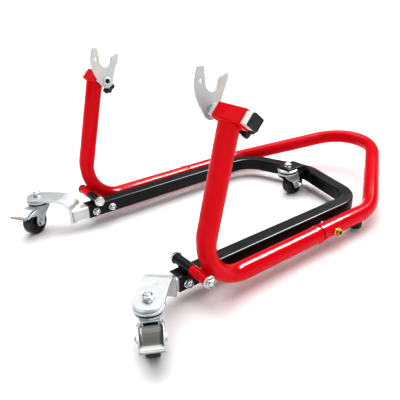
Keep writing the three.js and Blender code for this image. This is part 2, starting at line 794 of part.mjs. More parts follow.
/** Everything that repeats on the left (side 1) and on the right (side -1). */
function addSide(tag, side) {
  const half = new THREE.Group();
  model.add(half);
  const shaped = (geometry) => (side > 0 ? geometry : mirrored(geometry));
  const put = (name, geometry, material, [x, y, z] = [0, 0, 0]) => (
    add(half, `${name}_${tag}`, shaped(geometry), material, [side * x, y, z]));

  put('dolly_pivot_sleeve', sleeve(DOLLY_SLEEVE_X, SLEEVE_RADIUS, PIVOT_BORE), BLACK);
  put('caster_arm', casterArm(), ZINC);
  const inner = LEG_X - SQUARE / 2 - GAP;
  const outer = LEG_X + SQUARE / 2 + GAP;
  for (const [place, y] of Object.entries(ARM_BOLT_Y)) {
    const bolt = flangeBolt(ARM_BOLT_RADIUS, SQUARE + 11, 6.5);
    put(`arm_bolt_${place}`, bolt, BLUE_ZINC, [inner, y, ARM_BOLT_Z]);
    put(`arm_nut_${place}`, flangeNut(ARM_BOLT_RADIUS, 8), BLUE_ZINC, [outer, y, ARM_BOLT_Z]);
  }
  const boltStart = DOLLY_SLEEVE_X[0] - GAP;
  const boltLength = STAND_SLEEVE_X[1] - boltStart + 13;
  const pivotBolt = flangeBolt(PIVOT_BOLT_RADIUS, boltLength, 7.5);
  put('pivot_bolt', pivotBolt, BLUE_ZINC, [boltStart, PIVOT_Y, PIVOT_Z]);
  const nutX = STAND_SLEEVE_X[1] + GAP;
  put('pivot_nut', flangeNut(PIVOT_BOLT_RADIUS, 9), BLUE_ZINC, [nutX, PIVOT_Y, PIVOT_Z]);

  put('stand_pivot_sleeve', sleeve(STAND_SLEEVE_X, SLEEVE_RADIUS, PIVOT_BORE), RED);
  put('side_tube', sideTube(), RED, [SIDE_X, 0, 0]);
  const boltSeat = TUBE_RADIUS + GAP;
  const handleBolt = flangeBolt(ARM_BOLT_RADIUS, 2 * boltSeat + 11, 6);
  put('handle_bolt', handleBolt, YELLOW_ZINC, [SIDE_X - boltSeat, HANDLE_BOLT_Y, RUN_Z]);
  const handleNut = flangeNut(ARM_BOLT_RADIUS, 9);
  put('handle_nut', handleNut, YELLOW_ZINC, [SIDE_X + boltSeat, HANDLE_BOLT_Y, RUN_Z]);
  put('rubber_foot', rubberFoot(), RUBBER, [SIDE_X, FOOT_Y, 0]);

  const adapter = new THREE.Group();
  adapter.position.set(0, SOCKET_Y, SOCKET_Z);
  adapter.rotation.x = -SOCKET_TURN;
  half.add(adapter);
  const fit = (name, geometry, material, x = 0) => (
    add(adapter, `${name}_${tag}`, shaped(geometry), material, [side * x, 0, 0]));
  fit('adapter_socket', adapterSocket(), RED);
  fit('adapter_bar', adapterBar(), ZINC);
  fit('end_cap', endCap(), CAP_BLACK);
  fit('fork_bolt', forkBolt(), BLUE_ZINC);
  fit('fork_nut', forkNut(), BLUE_ZINC);
  fit('clamp_knob', clampKnob(), CAP_BLACK, (SOCKET_X[0] + SOCKET_X[1]) / 2);
  put('fork_plate', forkPlate(), ZINC, [0, SOCKET_Y, SOCKET_Z]);
}

add(model, 'dolly_frame', dollyFrame(), BLACK);
add(model, 'rear_caster_bracket', rearBracket(), BLACK);
add(model, 'handle', handle(), RED);
addSide('l', 1);
addSide('r', -1);
addCaster('l', FRONT_CASTER, CASTER_TOP + ARM_THICKNESS, true);
addCaster('r', [-FRONT_CASTER[0], FRONT_CASTER[1]], CASTER_TOP + ARM_THICKNESS, true);
addCaster('rear', REAR_CASTER, CASTER_TOP + BRACKET_THICKNESS, false);

// put the origin at the bottom centre of the bounding box
const box = new THREE.Box3().setFromObject(model, true);
const centre = box.getCenter(new THREE.Vector3());
model.position.set(-centre.x, -centre.y, 0);

const group = new THREE.Group();
group.add(model);
export default group;
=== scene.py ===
"""Looks of the paddock stand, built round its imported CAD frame.

Shapes are worked out in millimetres in the design frame of the part: x = 0 is the symmetry plane,
y = 0 the open front end of the dolly legs and z = 0 the floor. MM turns that into the row frame.
"""

import json
import math

import bmesh
import bpy
from mathutils import Matrix, Vector


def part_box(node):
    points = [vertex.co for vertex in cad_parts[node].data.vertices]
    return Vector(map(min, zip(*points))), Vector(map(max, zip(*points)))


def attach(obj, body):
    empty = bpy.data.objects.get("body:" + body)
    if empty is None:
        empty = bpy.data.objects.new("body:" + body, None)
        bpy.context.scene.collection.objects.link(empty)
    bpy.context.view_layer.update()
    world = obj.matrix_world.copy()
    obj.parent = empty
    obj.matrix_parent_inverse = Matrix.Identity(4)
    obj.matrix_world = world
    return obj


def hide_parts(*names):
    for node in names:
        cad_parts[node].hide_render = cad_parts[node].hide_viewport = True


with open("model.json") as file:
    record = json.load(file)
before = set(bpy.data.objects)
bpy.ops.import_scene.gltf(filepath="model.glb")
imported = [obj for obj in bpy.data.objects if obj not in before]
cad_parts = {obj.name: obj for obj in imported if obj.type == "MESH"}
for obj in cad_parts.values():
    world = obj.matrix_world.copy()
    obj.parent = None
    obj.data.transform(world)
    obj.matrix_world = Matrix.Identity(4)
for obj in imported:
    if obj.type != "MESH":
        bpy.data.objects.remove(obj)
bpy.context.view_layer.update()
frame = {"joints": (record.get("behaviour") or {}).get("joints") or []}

# ---------------- dimensions shared with the CAD
LEG_X, FRAME_Z, SQUARE, LEG_BACK_Y, APEX_Y = 175, 38, 30, 480.5, 534
FRAME_TOP = FRAME_Z + SQUARE / 2
PIVOT_Y, SLEEVE_RADIUS = 22.3, 9
PIVOT_Z = FRAME_TOP + SLEEVE_RADIUS + 0.3
DOLLY_SLEEVE_X, STAND_SLEEVE_X = (151, 195), (195.6, 238.5)
TUBE_RADIUS, TUBE_WALL, SIDE_X, RUN_Z, UPRIGHT_FOOT_Y, BEND_RADIUS = 17, 2.4, 220, 36.2, 9.5, 79.2
LEAN, SPLAY = math.radians(14.5), math.radians(0.8)
JOINT_Y, HANDLE_BOLT_Y, FOOT_Y, FOOT_BOTTOM = 306, 342, 428, 9
HANDLE_BEND_Y, HANDLE_APEX_Y, HANDLE_APEX_Z = 476, 801, 112
HANDLE_BEND_RADIUS, HANDLE_APEX_RADIUS = 106, 107
SOCKET_Y, SOCKET_Z, SOCKET_TURN, SOCKET_X = 84, 310.5, math.radians(41), (196, 255)
BAR_X, CAP_THICKNESS, PLATE_X, KNOB_DISTANCE = (184, 268), 5.5, (172.5, 177.5), 31
CASTER_TOP, WHEEL_RADIUS, WHEEL_WIDTH, TRAIL = 72, 27.5, 22, 22
FORK_HALF_GAP, FORK_SHEET, PEDAL_PIN, PEDAL_WIDTH = 13.5, 2.5, (20, 49), 36
PEDAL_PRESSED = {"l": 12, "r": 0}
FRONT_CASTER, REAR_CASTER = (235.5, -84), (0, 455)
ARM_THICKNESS, ARM_WIDTH, ARM_BACK_U, ARM_BEND_RADIUS, ARM_BOTTOM = 6, 46, 17, 25, 24
STUB_SIZE, ARM_BOLT_Y, ARM_BOLT_Z = 25.4, {"front": 16, "rear": 55}, 36
BRACKET_WIDTH, BRACKET_THICKNESS, BRACKET_FRONT_Y = 38, 4, 438
GAP = 0.3
M8, M10 = (4, 13), (5, 17)  # shank radius and size across flats
M10_HOLE, THREADED = 5.4, 14
SOCKET_SIZE, SOCKET_WALL, BAR_SIZE, BAR_WALL = 25, 2.1, 19.6, 2
TUBE_INSIDE = TUBE_RADIUS - TUBE_WALL
SMOOTH_BELOW = math.radians(32)

low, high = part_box("dolly_frame")
ORIGIN = Vector(((low.x + high.x) / 2, low.y, 0))
MM = Matrix.Translation(ORIGIN) @ Matrix.Scale(0.001, 4)
SIDES = {"l": 1, "r": -1}


# ---------------- meshes
def new_object(name, data):
    obj = bpy.data.objects.new(name, data)
    bpy.context.scene.collection.objects.link(obj)
    return obj


def along(matrix, bm):
    """The same bmesh moved by a matrix."""
    bm.transform(matrix)
    return bm


def joined(*parts):
    """Several bmeshes as one; they are separate shells of one piece."""
    whole = bmesh.new()
    for part in parts:
        mesh = bpy.data.meshes.new("tmp")
        part.to_mesh(mesh)
        whole.from_mesh(mesh)
        bpy.data.meshes.remove(mesh)
        part.free()
    return whole


def lofted(rings, closed=False, cap=True):
    """Skin over rings with the same number of points each."""
    bm = bmesh.new()
    rows = [[bm.verts.new(point) for point in ring] for ring in rings]
    count = len(rings[0])
    pairs = list(zip(rows, rows[1:])) + ([(rows[-1], rows[0])] if closed else [])
    for near, far in pairs:
        for j in range(count):
            k = (j + 1) % count
            bm.faces.new((near[j], near[k], far[k], far[j]))
    if cap and not closed:
        bm.faces.new(rows[0][::-1])
        bm.faces.new(rows[-1])
    bmesh.ops.remove_doubles(bm, verts=bm.verts, dist=1e-4)
    bmesh.ops.recalc_face_normals(bm, faces=bm.faces)
    return bm


def turned(profile, segments=48):
    """Solid of revolution about Z. A profile that ends where it starts makes a ring."""
    rings = [level_ring(radius, z, segments) for radius, z in profile]
    if profile[0] == profile[-1]:
        return lofted(rings[:-1], closed=True)
    return lofted(rings, cap=False)


def circle(radius, segments):
    angles = (2 * math.pi * i / segments for i in range(segments))
    return [(radius * math.cos(a), radius * math.sin(a)) for a in angles]


def level_ring(radius, z, segments=48):
    return [(x, y, z) for x, y in circle(radius, segments)]


def arc(cx, cy, radius, start, end, steps):
    angles = (math.radians(start + (end - start) * i / steps) for i in range(steps + 1))
    return [(cx + radius * math.cos(a), cy + radius * math.sin(a)) for a in angles]


def length_of(line):
    return sum(math.dist(p, q) for p, q in zip(line, line[1:]))


def rounded(points, radius, steps=4):
    """A closed outline with its corners rounded; radius is one number or one for each corner."""
    result, count = [], len(points)
    radii = radius if isinstance(radius, (list, tuple)) else [radius] * count
    for i, corner in enumerate(points):
        p = Vector(corner)
        before = Vector(points[i - 1]) - p
        after = Vector(points[(i + 1) % count]) - p
        angle = before.angle(after)
        if radii[i] <= 0 or angle > math.radians(179):
            result.append(tuple(p))
            continue
        reach = min(radii[i] / math.tan(angle / 2), before.length * 0.49, after.length * 0.49)
        a, b = p + before.normalized() * reach, p + after.normalized() * reach
        for k in range(steps + 1):
            t = k / steps
            result.append(tuple(a * (1 - t) ** 2 + p * 2 * t * (1 - t) + b * t ** 2))
    return result


def square(size, corner):
    h = size / 2
    return rounded([(h, h), (-h, h), (-h, -h), (h, -h)], corner, 5)


def plate(outline, holes, thickness, edge):
    """Flat plate in the x-y plane, centred on z = 0, with softened edges and real holes."""
    curve = bpy.data.curves.new("tmp", "CURVE")
    curve.dimensions, curve.fill_mode = "2D", "BOTH"
    curve.extrude, curve.bevel_depth = thickness / 2 - edge, edge
    curve.bevel_resolution, curve.offset = 2, -edge
    for loop in (outline, *holes):
        spline = curve.splines.new("POLY")
        spline.points.add(len(loop) - 1)
        for point, (x, y) in zip(spline.points, loop):
            point.co = (x, y, 0, 1)
        spline.use_cyclic_u = True
    obj = new_object("tmp", curve)
    evaluated = obj.evaluated_get(bpy.context.evaluated_depsgraph_get())
    bm = bmesh.new()
    bm.from_mesh(evaluated.to_mesh())
    evaluated.to_mesh_clear()
    bpy.data.objects.remove(obj)
    bpy.data.curves.remove(curve)
    bmesh.ops.remove_doubles(bm, verts=bm.verts, dist=1e-3)
    bmesh.ops.recalc_face_normals(bm, faces=bm.faces)
    return bm


def sliced(bm, axis, values):
    """Extra edge loops across one axis, so that a plate can be bent there."""
    normal = Vector([1.0 if i == axis else 0.0 for i in range(3)])
    for value in values:
        geometry = bm.verts[:] + bm.edges[:] + bm.faces[:]
        bmesh.ops.bisect_plane(bm, geom=geometry, plane_co=normal * value, plane_no=normal)
    return bm


def bent_along(bm, line):
    """Wraps a flat plate onto a line of (a, b) points: x runs along it and z stands off it.

    The result has a as x and b as z; y is kept.
    """
    points = [Vector(p) for p in line]
    lengths = [0.0]
    for p, q in zip(points, points[1:]):
        lengths.append(lengths[-1] + (q - p).length)
    tangents = []
    for i in range(len(points)):
        before = points[max(i - 1, 0)]
        after = points[min(i + 1, len(points) - 1)]
        tangents.append((after - before).normalized())
    for v in bm.verts:
        i = 0
        while i < len(points) - 2 and lengths[i + 1] < v.co.x:
            i += 1
        t = (v.co.x - lengths[i]) / (lengths[i + 1] - lengths[i])
        base = points[i] + (points[i + 1] - points[i]) * t
        tangent = tangents[i].lerp(tangents[i + 1], min(max(t, 0), 1)).normalized()
        normal = Vector((-tangent.y, tangent.x))
        place = base + normal * v.co.z
        v.co = (place.x, v.co.y, place.y)
    bmesh.ops.recalc_face_normals(bm, faces=bm.faces)
    return bm


# ---------------- routes and tubes
def bent_route(corners, radii, steps, squeeze=0.0):
    """Stations (point, tangent, inward, squeeze) along straights joined by arcs."""
    points = [Vector(c) for c in corners]
    stations = []

    def straight(a, b, count):
        tangent = (b - a).normalized()
        for k in range(count + 1):
            stations.append((a.lerp(b, k / count), tangent, Vector((0, 0, 0)), 0.0))

    start = points[0]
    for i in range(1, len(points) - 1):
        into = (points[i] - points[i - 1]).normalized()
        out = (points[i + 1] - points[i]).normalized()
        angle, radius = into.angle(out), radii[i - 1]
        side = (out - into * out.dot(into)).normalized()
        first = points[i] - into * radius * math.tan(angle / 2)
        centre = first + side * radius
        straight(start, first, 4)
        for k in range(1, steps):
            turn = angle * k / steps
            point = centre - side * radius * math.cos(turn) + into * radius * math.sin(turn)
            tangent = into * math.cos(turn) + side * math.sin(turn)
            inward = side * math.cos(turn) - into * math.sin(turn)
            ramp = min(1.0, min(k, steps - k) / (0.14 * steps))
            stations.append((point, tangent, inward, squeeze * ramp * ramp * (3 - 2 * ramp)))
        start = centre - side * radius * math.cos(angle) + into * radius * math.sin(angle)
    straight(start, points[-1], 4)
    return stations


def section_rings(route, section, up=None):
    """Rings of a flat section carried along a route, squeezed across its bends."""
    rings = []
    normal = Vector(up) if up else Vector((1, 0, 0))
    if not up and abs(route[0][1].x) > 0.9:
        normal = Vector((0, 0, 1))
    for point, tangent, inward, squeeze in route:
        normal = (normal - tangent * normal.dot(tangent)).normalized()
        binormal = tangent.cross(normal)
        ring = []
        for a, b in section:
            offset = normal * a + binormal * b
            offset -= inward * (squeeze * offset.dot(inward))
            ring.append(point + offset)
        rings.append(ring)
    return rings


def pipe(route, outer, inner, up=None):
    """Hollow tube with open ends."""
    outside = section_rings(route, outer, up)
    inside = section_rings(route, inner, up)
    return lofted(outside + inside[::-1], closed=True)


def bead(path, radius, closed=True, pitch=2.6):
    """Weld bead: a rippled cord laid along points."""
    points = [Vector(p) for p in path]
    spaced, total = [], 0.0
    ends = list(zip(points, points[1:])) + ([(points[-1], points[0])] if closed else [])
    length = sum((b - a).length for a, b in ends)
    count = max(8, int(length / (pitch / 4)))
    wanted = [length * i / count for i in range(count + (0 if closed else 1))]
    for a, b in ends:
        span = (b - a).length
        while wanted and wanted[0] <= total + span + 1e-9:
            t = (wanted.pop(0) - total) / max(span, 1e-9)
            spaced.append(a.lerp(b, min(t, 1)))
        total += span
    rings, n = [], len(spaced)
    normal = Vector((0.3, 0.5, 0.8))
    for i, p in enumerate(spaced):
        after = spaced[(i + 1) % n] if closed or i < n - 1 else p
        before = spaced[i - 1] if closed or i > 0 else p
        tangent = (after - before).normalized()
        normal = (normal - tangent * normal.dot(tangent)).normalized()
        side = tangent.cross(normal)
        size = radius * (1 + 0.11 * math.sin(2 * math.pi * i / 4) + 0.05 * math.sin(i * 0.61))
        rings.append([p + (normal * a + side * b) * size for a, b in circle(1, 10)])
    return lofted(rings, closed=closed)


# ---------------- fasteners, about Z
def hexagon(across, z0, z1, top=True, bottom=False, bore=0.0, dish=0.0):
    """Hexagonal head or nut with turned chamfers and, if bored, an open hole."""
    chamfer, segments = across * 0.475, 72

    def flats(z, slope=0.0):
        """Ring on the six flats, sloping away from z towards the corners."""
        ring = []
        for x, y in circle(1, segments):
            angle = (math.atan2(y, x) + math.pi / 6) % (math.pi / 3) - math.pi / 6
            radius = across / 2 / math.cos(angle)
            ring.append((x * radius, y * radius, z + slope * max(0.0, radius - chamfer)))
        return ring

    def rounds(*levels):
        return [level_ring(radius, z, segments) for radius, z in levels]

    rings = rounds((chamfer, z0)) + [flats(z0, 0.55)] if bottom else [flats(z0)]
    rings += [flats(z1, -0.55)] + rounds((chamfer, z1)) if top else [flats(z1)]
    if bore:
        rings += rounds((bore + 0.7, z1), (bore, z1 - 0.8), (bore, z0))
    if dish:
        rings += rounds((dish, z1), (dish * 0.93, z1 - 0.5), (dish * 0.1, z1 - 0.5))
    return lofted(rings, closed=bore > 0)


def flange(radius, inner, z0, thickness=1.6):
    rise = thickness * 1.5
    return turned([
        (inner, z0), (radius - 0.3, z0), (radius, z0 + 0.3), (radius, z0 + thickness * 0.6),
        (radius - 0.5, z0 + thickness * 0.8), (inner + 2.2, z0 + rise), (inner, z0 + rise),
        (inner, z0),
    ])


def thread(radius, z0, z1, pitch=1.25):
    """Shank with turned thread grooves and a chamfered end."""
    profile, z = [(0, z0), (radius * 0.86, z0)], z0
    while z < z1 - pitch:
        profile += [(radius * 0.87, z), (radius, z + pitch * 0.45), (radius, z + pitch * 0.6)]
        z += pitch
    profile += [(radius * 0.87, z1 - 0.6), (radius * 0.72, z1), (0, z1)]
    return turned(profile, 32)


def bolt(radius, across, length, head):
    """Flange bolt: bearing face at z = 0, shank up along +Z, head below."""
    plain = length - THREADED
    shank = turned([(0, 0), (radius, 0), (radius, plain), (0, plain)], 32)
    cap = hexagon(across, 1.4, head, dish=across * 0.36)
    rim = flange(radius * 2.15, radius * 0.9, 0)
    turn = Matrix.Rotation(math.pi, 4, "X")
    return joined(along(turn, joined(cap, rim)), shank, thread(radius, plain, length))


def flange_nut(radius, across, height):
    """Flange nut: bearing face at z = 0, standing up along +Z, with a locking collar."""
    hollow = radius + 1.1
    collar = turned([
        (hollow, height - 2.6), (across * 0.45, height - 2.6), (across * 0.43, height - 0.6),
        (across * 0.4, height), (hollow + 0.5, height), (hollow, height - 0.5),
        (hollow, height - 2.6),
    ])
    body = hexagon(across, 1.2, height - 2.2, bore=radius + 0.2)
    return joined(flange(radius * 2.15, radius + 0.2, 0), body, collar)


# ---------------- materials, each with the slot it usually fills
class Shader:
    """A Principled material and small helpers for its node tree."""

    def __init__(self, name, **sockets):
        self.material = bpy.data.materials.new(name)
        self.material.use_nodes = True
        self.nodes = self.material.node_tree.nodes
        self.links = self.material.node_tree.links
        self.bsdf = self.nodes["Principled BSDF"]
        self.coordinates = self.nodes.new("ShaderNodeTexCoord").outputs["Object"]
        for socket, value in sockets.items():
            self.bsdf.inputs[socket.replace("_", " ")].default_value = value

    def noise(self, scale, detail=3.0, roughness=0.55, stretch=None, distortion=0.0):
        source = self.coordinates
        if stretch:
            mapping = self.nodes.new("ShaderNodeMapping")
            mapping.inputs["Scale"].default_value = stretch
            self.links.new(source, mapping.inputs["Vector"])
            source = mapping.outputs["Vector"]
        node = self.nodes.new("ShaderNodeTexNoise")
        node.inputs["Scale"].default_value = scale
        node.inputs["Detail"].default_value = detail
        node.inputs["Roughness"].default_value = roughness
        node.inputs["Distortion"].default_value = distortion
        self.links.new(source, node.inputs["Vector"])
        return node.outputs["Fac"]

    def ramp(self, value, stops):
        node = self.nodes.new("ShaderNodeValToRGB")
        elements = node.color_ramp.elements
        while len(elements) < len(stops):
            elements.new(0.5)
        for element, (place, color) in zip(elements, stops):
            element.position = place
            element.color = (*color, 1)
        self.links.new(value, node.inputs["Fac"])
        return node.outputs["Color"]

    def spread(self, value, low, high, at=(0.3, 0.7)):
        node = self.nodes.new("ShaderNodeMapRange")
        for socket, number in zip(("From Min", "From Max", "To Min", "To Max"), (*at, low, high)):
            node.inputs[socket].default_value = number
        self.links.new(value, node.inputs["Value"])
        return node.outputs["Result"]

    def mixed(self, factor, a, b):
        node = self.nodes.new("ShaderNodeMix")
        node.data_type = "RGBA"
        self.links.new(factor, node.inputs["Factor"])
        for socket, value in (("A", a), ("B", b)):
            target = [s for s in node.inputs if s.name == socket and s.type == "RGBA"][0]
            if isinstance(value, tuple):
                target.default_value = (*value, 1)
            else:
                self.links.new(value, target)
        return [s for s in node.outputs if s.type == "RGBA"][0]

    def bump(self, height, distance, strength=1.0, under=None):
        node = self.nodes.new("ShaderNodeBump")
        node.inputs["Strength"].default_value = strength
        node.inputs["Distance"].default_value = distance
        self.links.new(height, node.inputs["Height"])
        if under is not None:
            self.links.new(under, node.inputs["Normal"])
        return node.outputs["Normal"]

    def finish(self, color=None, roughness=None, normal=None):
        for name, value in (("Base Color", color), ("Roughness", roughness), ("Normal", normal)):
            if value is not None:
                self.links.new(value, self.bsdf.inputs[name])
        return self.material


def red_paint(name, dark, light):
    s = Shader(name, Specular_IOR_Level=0.12, Coat_Weight=0.15, Coat_Roughness=0.04)
    color = s.ramp(s.noise(9, 4), [(0.3, dark), (0.7, light)])
    roughness = s.spread(s.noise(50, 3), 0.14, 0.22)
    peel = s.bump(s.noise(150, 2), 0.00004, 0.35)
    return s.finish(color, roughness, s.bump(s.noise(900, 2), 0.00001, 0.3, peel))


def black_paint():
    s = Shader("black_powder_coat", Specular_IOR_Level=0.32)
    color = s.ramp(s.noise(20, 4), [(0.3, (0.004, 0.004, 0.005)), (0.7, (0.009, 0.009, 0.011))])
    roughness = s.spread(s.noise(45, 3), 0.28, 0.38)
    peel = s.bump(s.noise(260, 2), 0.00003, 0.2)
    return s.finish(color, roughness, s.bump(s.noise(1500, 2), 0.00001, 0.3, peel))


def zinc(name, tint, smooth, rough, scratch=0.5, metallic=0.7):
    """Passivated zinc: bluish white with faint yellow and blue bloom and drawn lines."""
    s = Shader(name, Metallic=metallic)
    bloom = s.ramp(s.noise(34, 5, 0.6, distortion=0.6), [
        (0.30, tuple(c * k for c, k in zip(tint, (0.86, 0.97, 1.04)))),
        (0.5, tint),
        (0.70, tuple(c * k for c, k in zip(tint, (1.05, 1.02, 0.88)))),
    ])
    grain = s.noise(700, 4, 0.7)
    color = s.mixed(s.spread(grain, 0.0, 0.25), bloom, tuple(c * 0.8 for c in tint))
    roughness = s.spread(s.noise(90, 4, 0.6), smooth, rough)
    drawn = s.bump(s.noise(160, 3, 0.6, stretch=(1.0, 9.0, 9.0)), 0.00001, scratch)
    return s.finish(color, roughness, s.bump(grain, 0.000005, 0.2, drawn))


def yellow_zinc():
    s = Shader("yellow_zinc", Metallic=0.95)
    color = s.ramp(s.noise(160, 3, 0.6, distortion=0.8), [
        (0.25, (0.50, 0.42, 0.08)), (0.45, (0.72, 0.47, 0.12)),
        (0.6, (0.62, 0.44, 0.20)), (0.8, (0.55, 0.50, 0.14)),
    ])
    roughness = s.spread(s.noise(300, 3), 0.16, 0.34)
    return s.finish(color, roughness, s.bump(s.noise(900, 2), 0.00002, 0.4))


def moulded(name, dark, light, smooth, rough, grain, depth):
    """Moulded plastic or rubber with a fine grain; also the near-black painted shade for holes."""
    s = Shader(name)
    color = s.ramp(s.noise(35, 4), [(0.3, dark), (0.7, light)])
    roughness = s.spread(s.noise(120, 3), smooth, rough)
    return s.finish(color, roughness, s.bump(s.noise(grain, 3), depth, 0.6))


RED = red_paint("red_powder_coat", (0.60, 0.0002, 0.006), (0.72, 0.0004, 0.018)), "red_coat"
# Dark copy of the red paint for the spigot: painted shade for the dark groove where the slip joint
# opens.
SHADED_RED = red_paint("red_powder_coat_painted_shade", (0.12, 0.001, 0.006), (0.20, 0.001, 0.010)), "red_coat"
BLACK = black_paint(), "black_coat"
ZINC = zinc("zinc_plate", (0.62, 0.64, 0.645), 0.30, 0.46), "zinc_plate"
BRIGHT = zinc("zinc_fastener", (0.60, 0.615, 0.63), 0.14, 0.26, 0.25, 0.9), "zinc_fastener"
DARK_ZINC = zinc("zinc_pedal", (0.13, 0.13, 0.125), 0.36, 0.5), "zinc_plate"
WARM = zinc("zinc_bar", (0.80, 0.775, 0.73), 0.36, 0.5, 0.3, 0.4), "zinc_plate"
PALE = moulded("cap_plastic_pale", (0.62, 0.63, 0.62), (0.74, 0.745, 0.73),
               0.4, 0.55, 1100, 0.00005), "black_plastic"
SATIN = zinc("zinc_satin", (0.33, 0.34, 0.34), 0.34, 0.5), "zinc_plate"
GOLD = yellow_zinc(), "yellow_zinc"
GREASE = zinc("race_track", (0.10, 0.085, 0.06), 0.2, 0.4), "zinc_plate"
RUBBER = moulded("rubber", (0.010, 0.010, 0.011), (0.020, 0.020, 0.021),
                 0.55, 0.75, 900, 0.00012), "rubber"
WHEEL = moulded("wheel_plastic", (0.008, 0.008, 0.009), (0.016, 0.016, 0.018),
                0.22, 0.36, 700, 0.00005), "wheel_plastic"
CAP = moulded("cap_plastic", (0.008, 0.009, 0.014), (0.016, 0.018, 0.026),
              0.38, 0.55, 1100, 0.00008), "black_plastic"
MATT = zinc("zinc_matt", (0.58, 0.58, 0.565), 0.5, 0.66, 0.3, 0.35), "zinc_plate"
# Near-black fill for the insides of holes and sockets: painted shade.
HOLE_SHADE = moulded("painted_bore_shade", (0.003, 0.003, 0.003), (0.007, 0.007, 0.007),
               0.7, 0.9, 900, 0.00005), "zinc_fastener"


# ---------------- pieces
def piece(name, bm, finish, body, replaces=(), place=None):
    """One visible object from a bmesh in design millimetres, riding on a CAD body."""
    material, usual_slot = finish
    matrix = MM @ place if place else MM
    bm.transform(matrix)
    bmesh.ops.recalc_face_normals(bm, faces=bm.faces)
    mesh = bpy.data.meshes.new(name)
    bm.to_mesh(mesh)
    bm.free()
    mesh.materials.append(material)
    mesh.shade_smooth()
    mesh.set_sharp_from_angle(angle=SMOOTH_BELOW)
    obj = new_object(name, mesh)
    weighted = obj.modifiers.new("flat_faces", "WEIGHTED_NORMAL")
    weighted.keep_sharp = True
    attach(obj, body)
    if replaces:
        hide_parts(*replaces)


def side_matrix(tag):
    return Matrix.Diagonal((SIDES[tag], 1, 1, 1))


def on_x(x, y, z, direction=1):
    """Turns the Z axis of a fastener to +X or -X and moves it to a point."""
    return Matrix.Translation((x, y, z)) @ Matrix.Rotation(direction * math.pi / 2, 4, "Y")


# ---------------- dolly frame and its sleeves
def frame_route():
    corners = [
        (LEG_X, 0), (LEG_X, LEG_BACK_Y), (0, APEX_Y), (-LEG_X, LEG_BACK_Y), (-LEG_X, 0)]
    return bent_route([(x, y, FRAME_Z) for x, y in corners], (70, 40, 70), 18)


def sleeve(span):
    """Pivot sleeve along X with softened rims."""
    start, end = span
    rim = SLEEVE_RADIUS - 0.5
    return along(on_x(0, PIVOT_Y, PIVOT_Z), turned([
        (M10_HOLE, start), (rim, start), (SLEEVE_RADIUS, start + 0.5), (SLEEVE_RADIUS, end - 0.5),
        (rim, end), (M10_HOLE, end), (M10_HOLE, start),
    ], 56))


piece("frame_tube", pipe(frame_route(), square(SQUARE, 4.5), square(SQUARE - 5, 2.5), up=(0, 0, 1)),
      BLACK, "dolly", ["dolly_frame"])

for tag in SIDES:
    piece(f"dolly_sleeve_{tag}", sleeve(DOLLY_SLEEVE_X), BLACK, "dolly",
          [f"dolly_pivot_sleeve_{tag}"], side_matrix(tag))
    for place, offset in (("front", -3.6), ("rear", 3.6)):
        line = [(DOLLY_SLEEVE_X[0] + 9 + 3 * i, PIVOT_Y + offset, FRAME_TOP + 0.7)
                for i in range(11)]
        piece(f"sleeve_weld_{place}_{tag}", bead(line, 1.9, closed=False), BLACK, "dolly", (),
              side_matrix(tag))


# ---------------- rear bracket
def rear_bracket():
    """Strip that carries the rear caster and turns down over the back of the frame."""
    bend_y, bend_radius, middle = 492, 8, CASTER_TOP + BRACKET_THICKNESS / 2
    line = [(BRACKET_FRONT_Y, middle)]
    line += arc(bend_y, middle - bend_radius, bend_radius, 90, 34, 5)
    line += [(513.2, 54.5)] + arc(506.5, 51, 9, 20, 0, 3)[1:] + [(515.6, 29)]
    total = length_of(line)
    half = BRACKET_WIDTH / 2
    outline = rounded([(0, -half), (total, -half), (total, half), (0, half)], (3, 2, 2, 3), 5)
    hole = [(REAR_CASTER[1] - BRACKET_FRONT_Y + x, y) for x, y in circle(M10_HOLE, 32)]
    bm = plate(outline, [hole], BRACKET_THICKNESS, 0.8)
    sliced(bm, 0, [total * i / 40 for i in range(1, 40)])
    bent_along(bm, line)
    return along(Matrix.Rotation(math.pi / 2, 4, "Z"), bm)


piece("caster_bracket", rear_bracket(), BLACK, "dolly", ["rear_caster_bracket"])
for name, x in (("a", 19.6), ("b", -19.6)):
    line = [(x, 517.2, z) for z in (29, 34, 39, 44, 49)]
    piece(f"bracket_weld_{name}", bead(line, 1.8, closed=False), BLACK, "dolly")


# ---------------- caster arms
DIAGONAL = math.sqrt(0.5)
ARM_FRAME = Matrix((
    (DIAGONAL, DIAGONAL, 0, LEG_X), (-DIAGONAL, DIAGONAL, 0, 0), (0, 0, 1, 0), (0, 0, 0, 1)))
STEM_U = (FRONT_CASTER[0] - LEG_X - FRONT_CASTER[1]) * DIAGONAL
STEM_V = (FRONT_CASTER[0] - LEG_X + FRONT_CASTER[1]) * DIAGONAL


def arm_plate():
    """Flat bar with a round end over the caster, bent down to the stub."""
    middle = CASTER_TOP + ARM_THICKNESS / 2
    radius = ARM_BEND_RADIUS + ARM_THICKNESS / 2
    bend_u = ARM_BACK_U + ARM_THICKNESS + ARM_BEND_RADIUS
    end_u = STEM_U + ARM_WIDTH / 2
    line = [(end_u, middle)] + arc(bend_u, middle - radius, radius, 90, 180, 14)
    line.append((bend_u - radius, ARM_BOTTOM))
    total = length_of(line)
    half = ARM_WIDTH / 2
    outline = arc(half, 0, half, 270, 90, 24) + rounded(
        [(half + 1, half), (total, half), (total, -half), (half + 1, -half)], (0, 2.5, 2.5, 0), 4)
    hole = [(half + x, y) for x, y in circle(M10_HOLE, 32)]
    bm = plate(outline, [hole], ARM_THICKNESS, 0.9)
    start = end_u - bend_u
    sliced(bm, 0, [start + radius * math.pi / 2 * i / 14 for i in range(15)])
    bent_along(bm, line)
    return along(ARM_FRAME @ Matrix.Translation((0, STEM_V, 0)), bm)


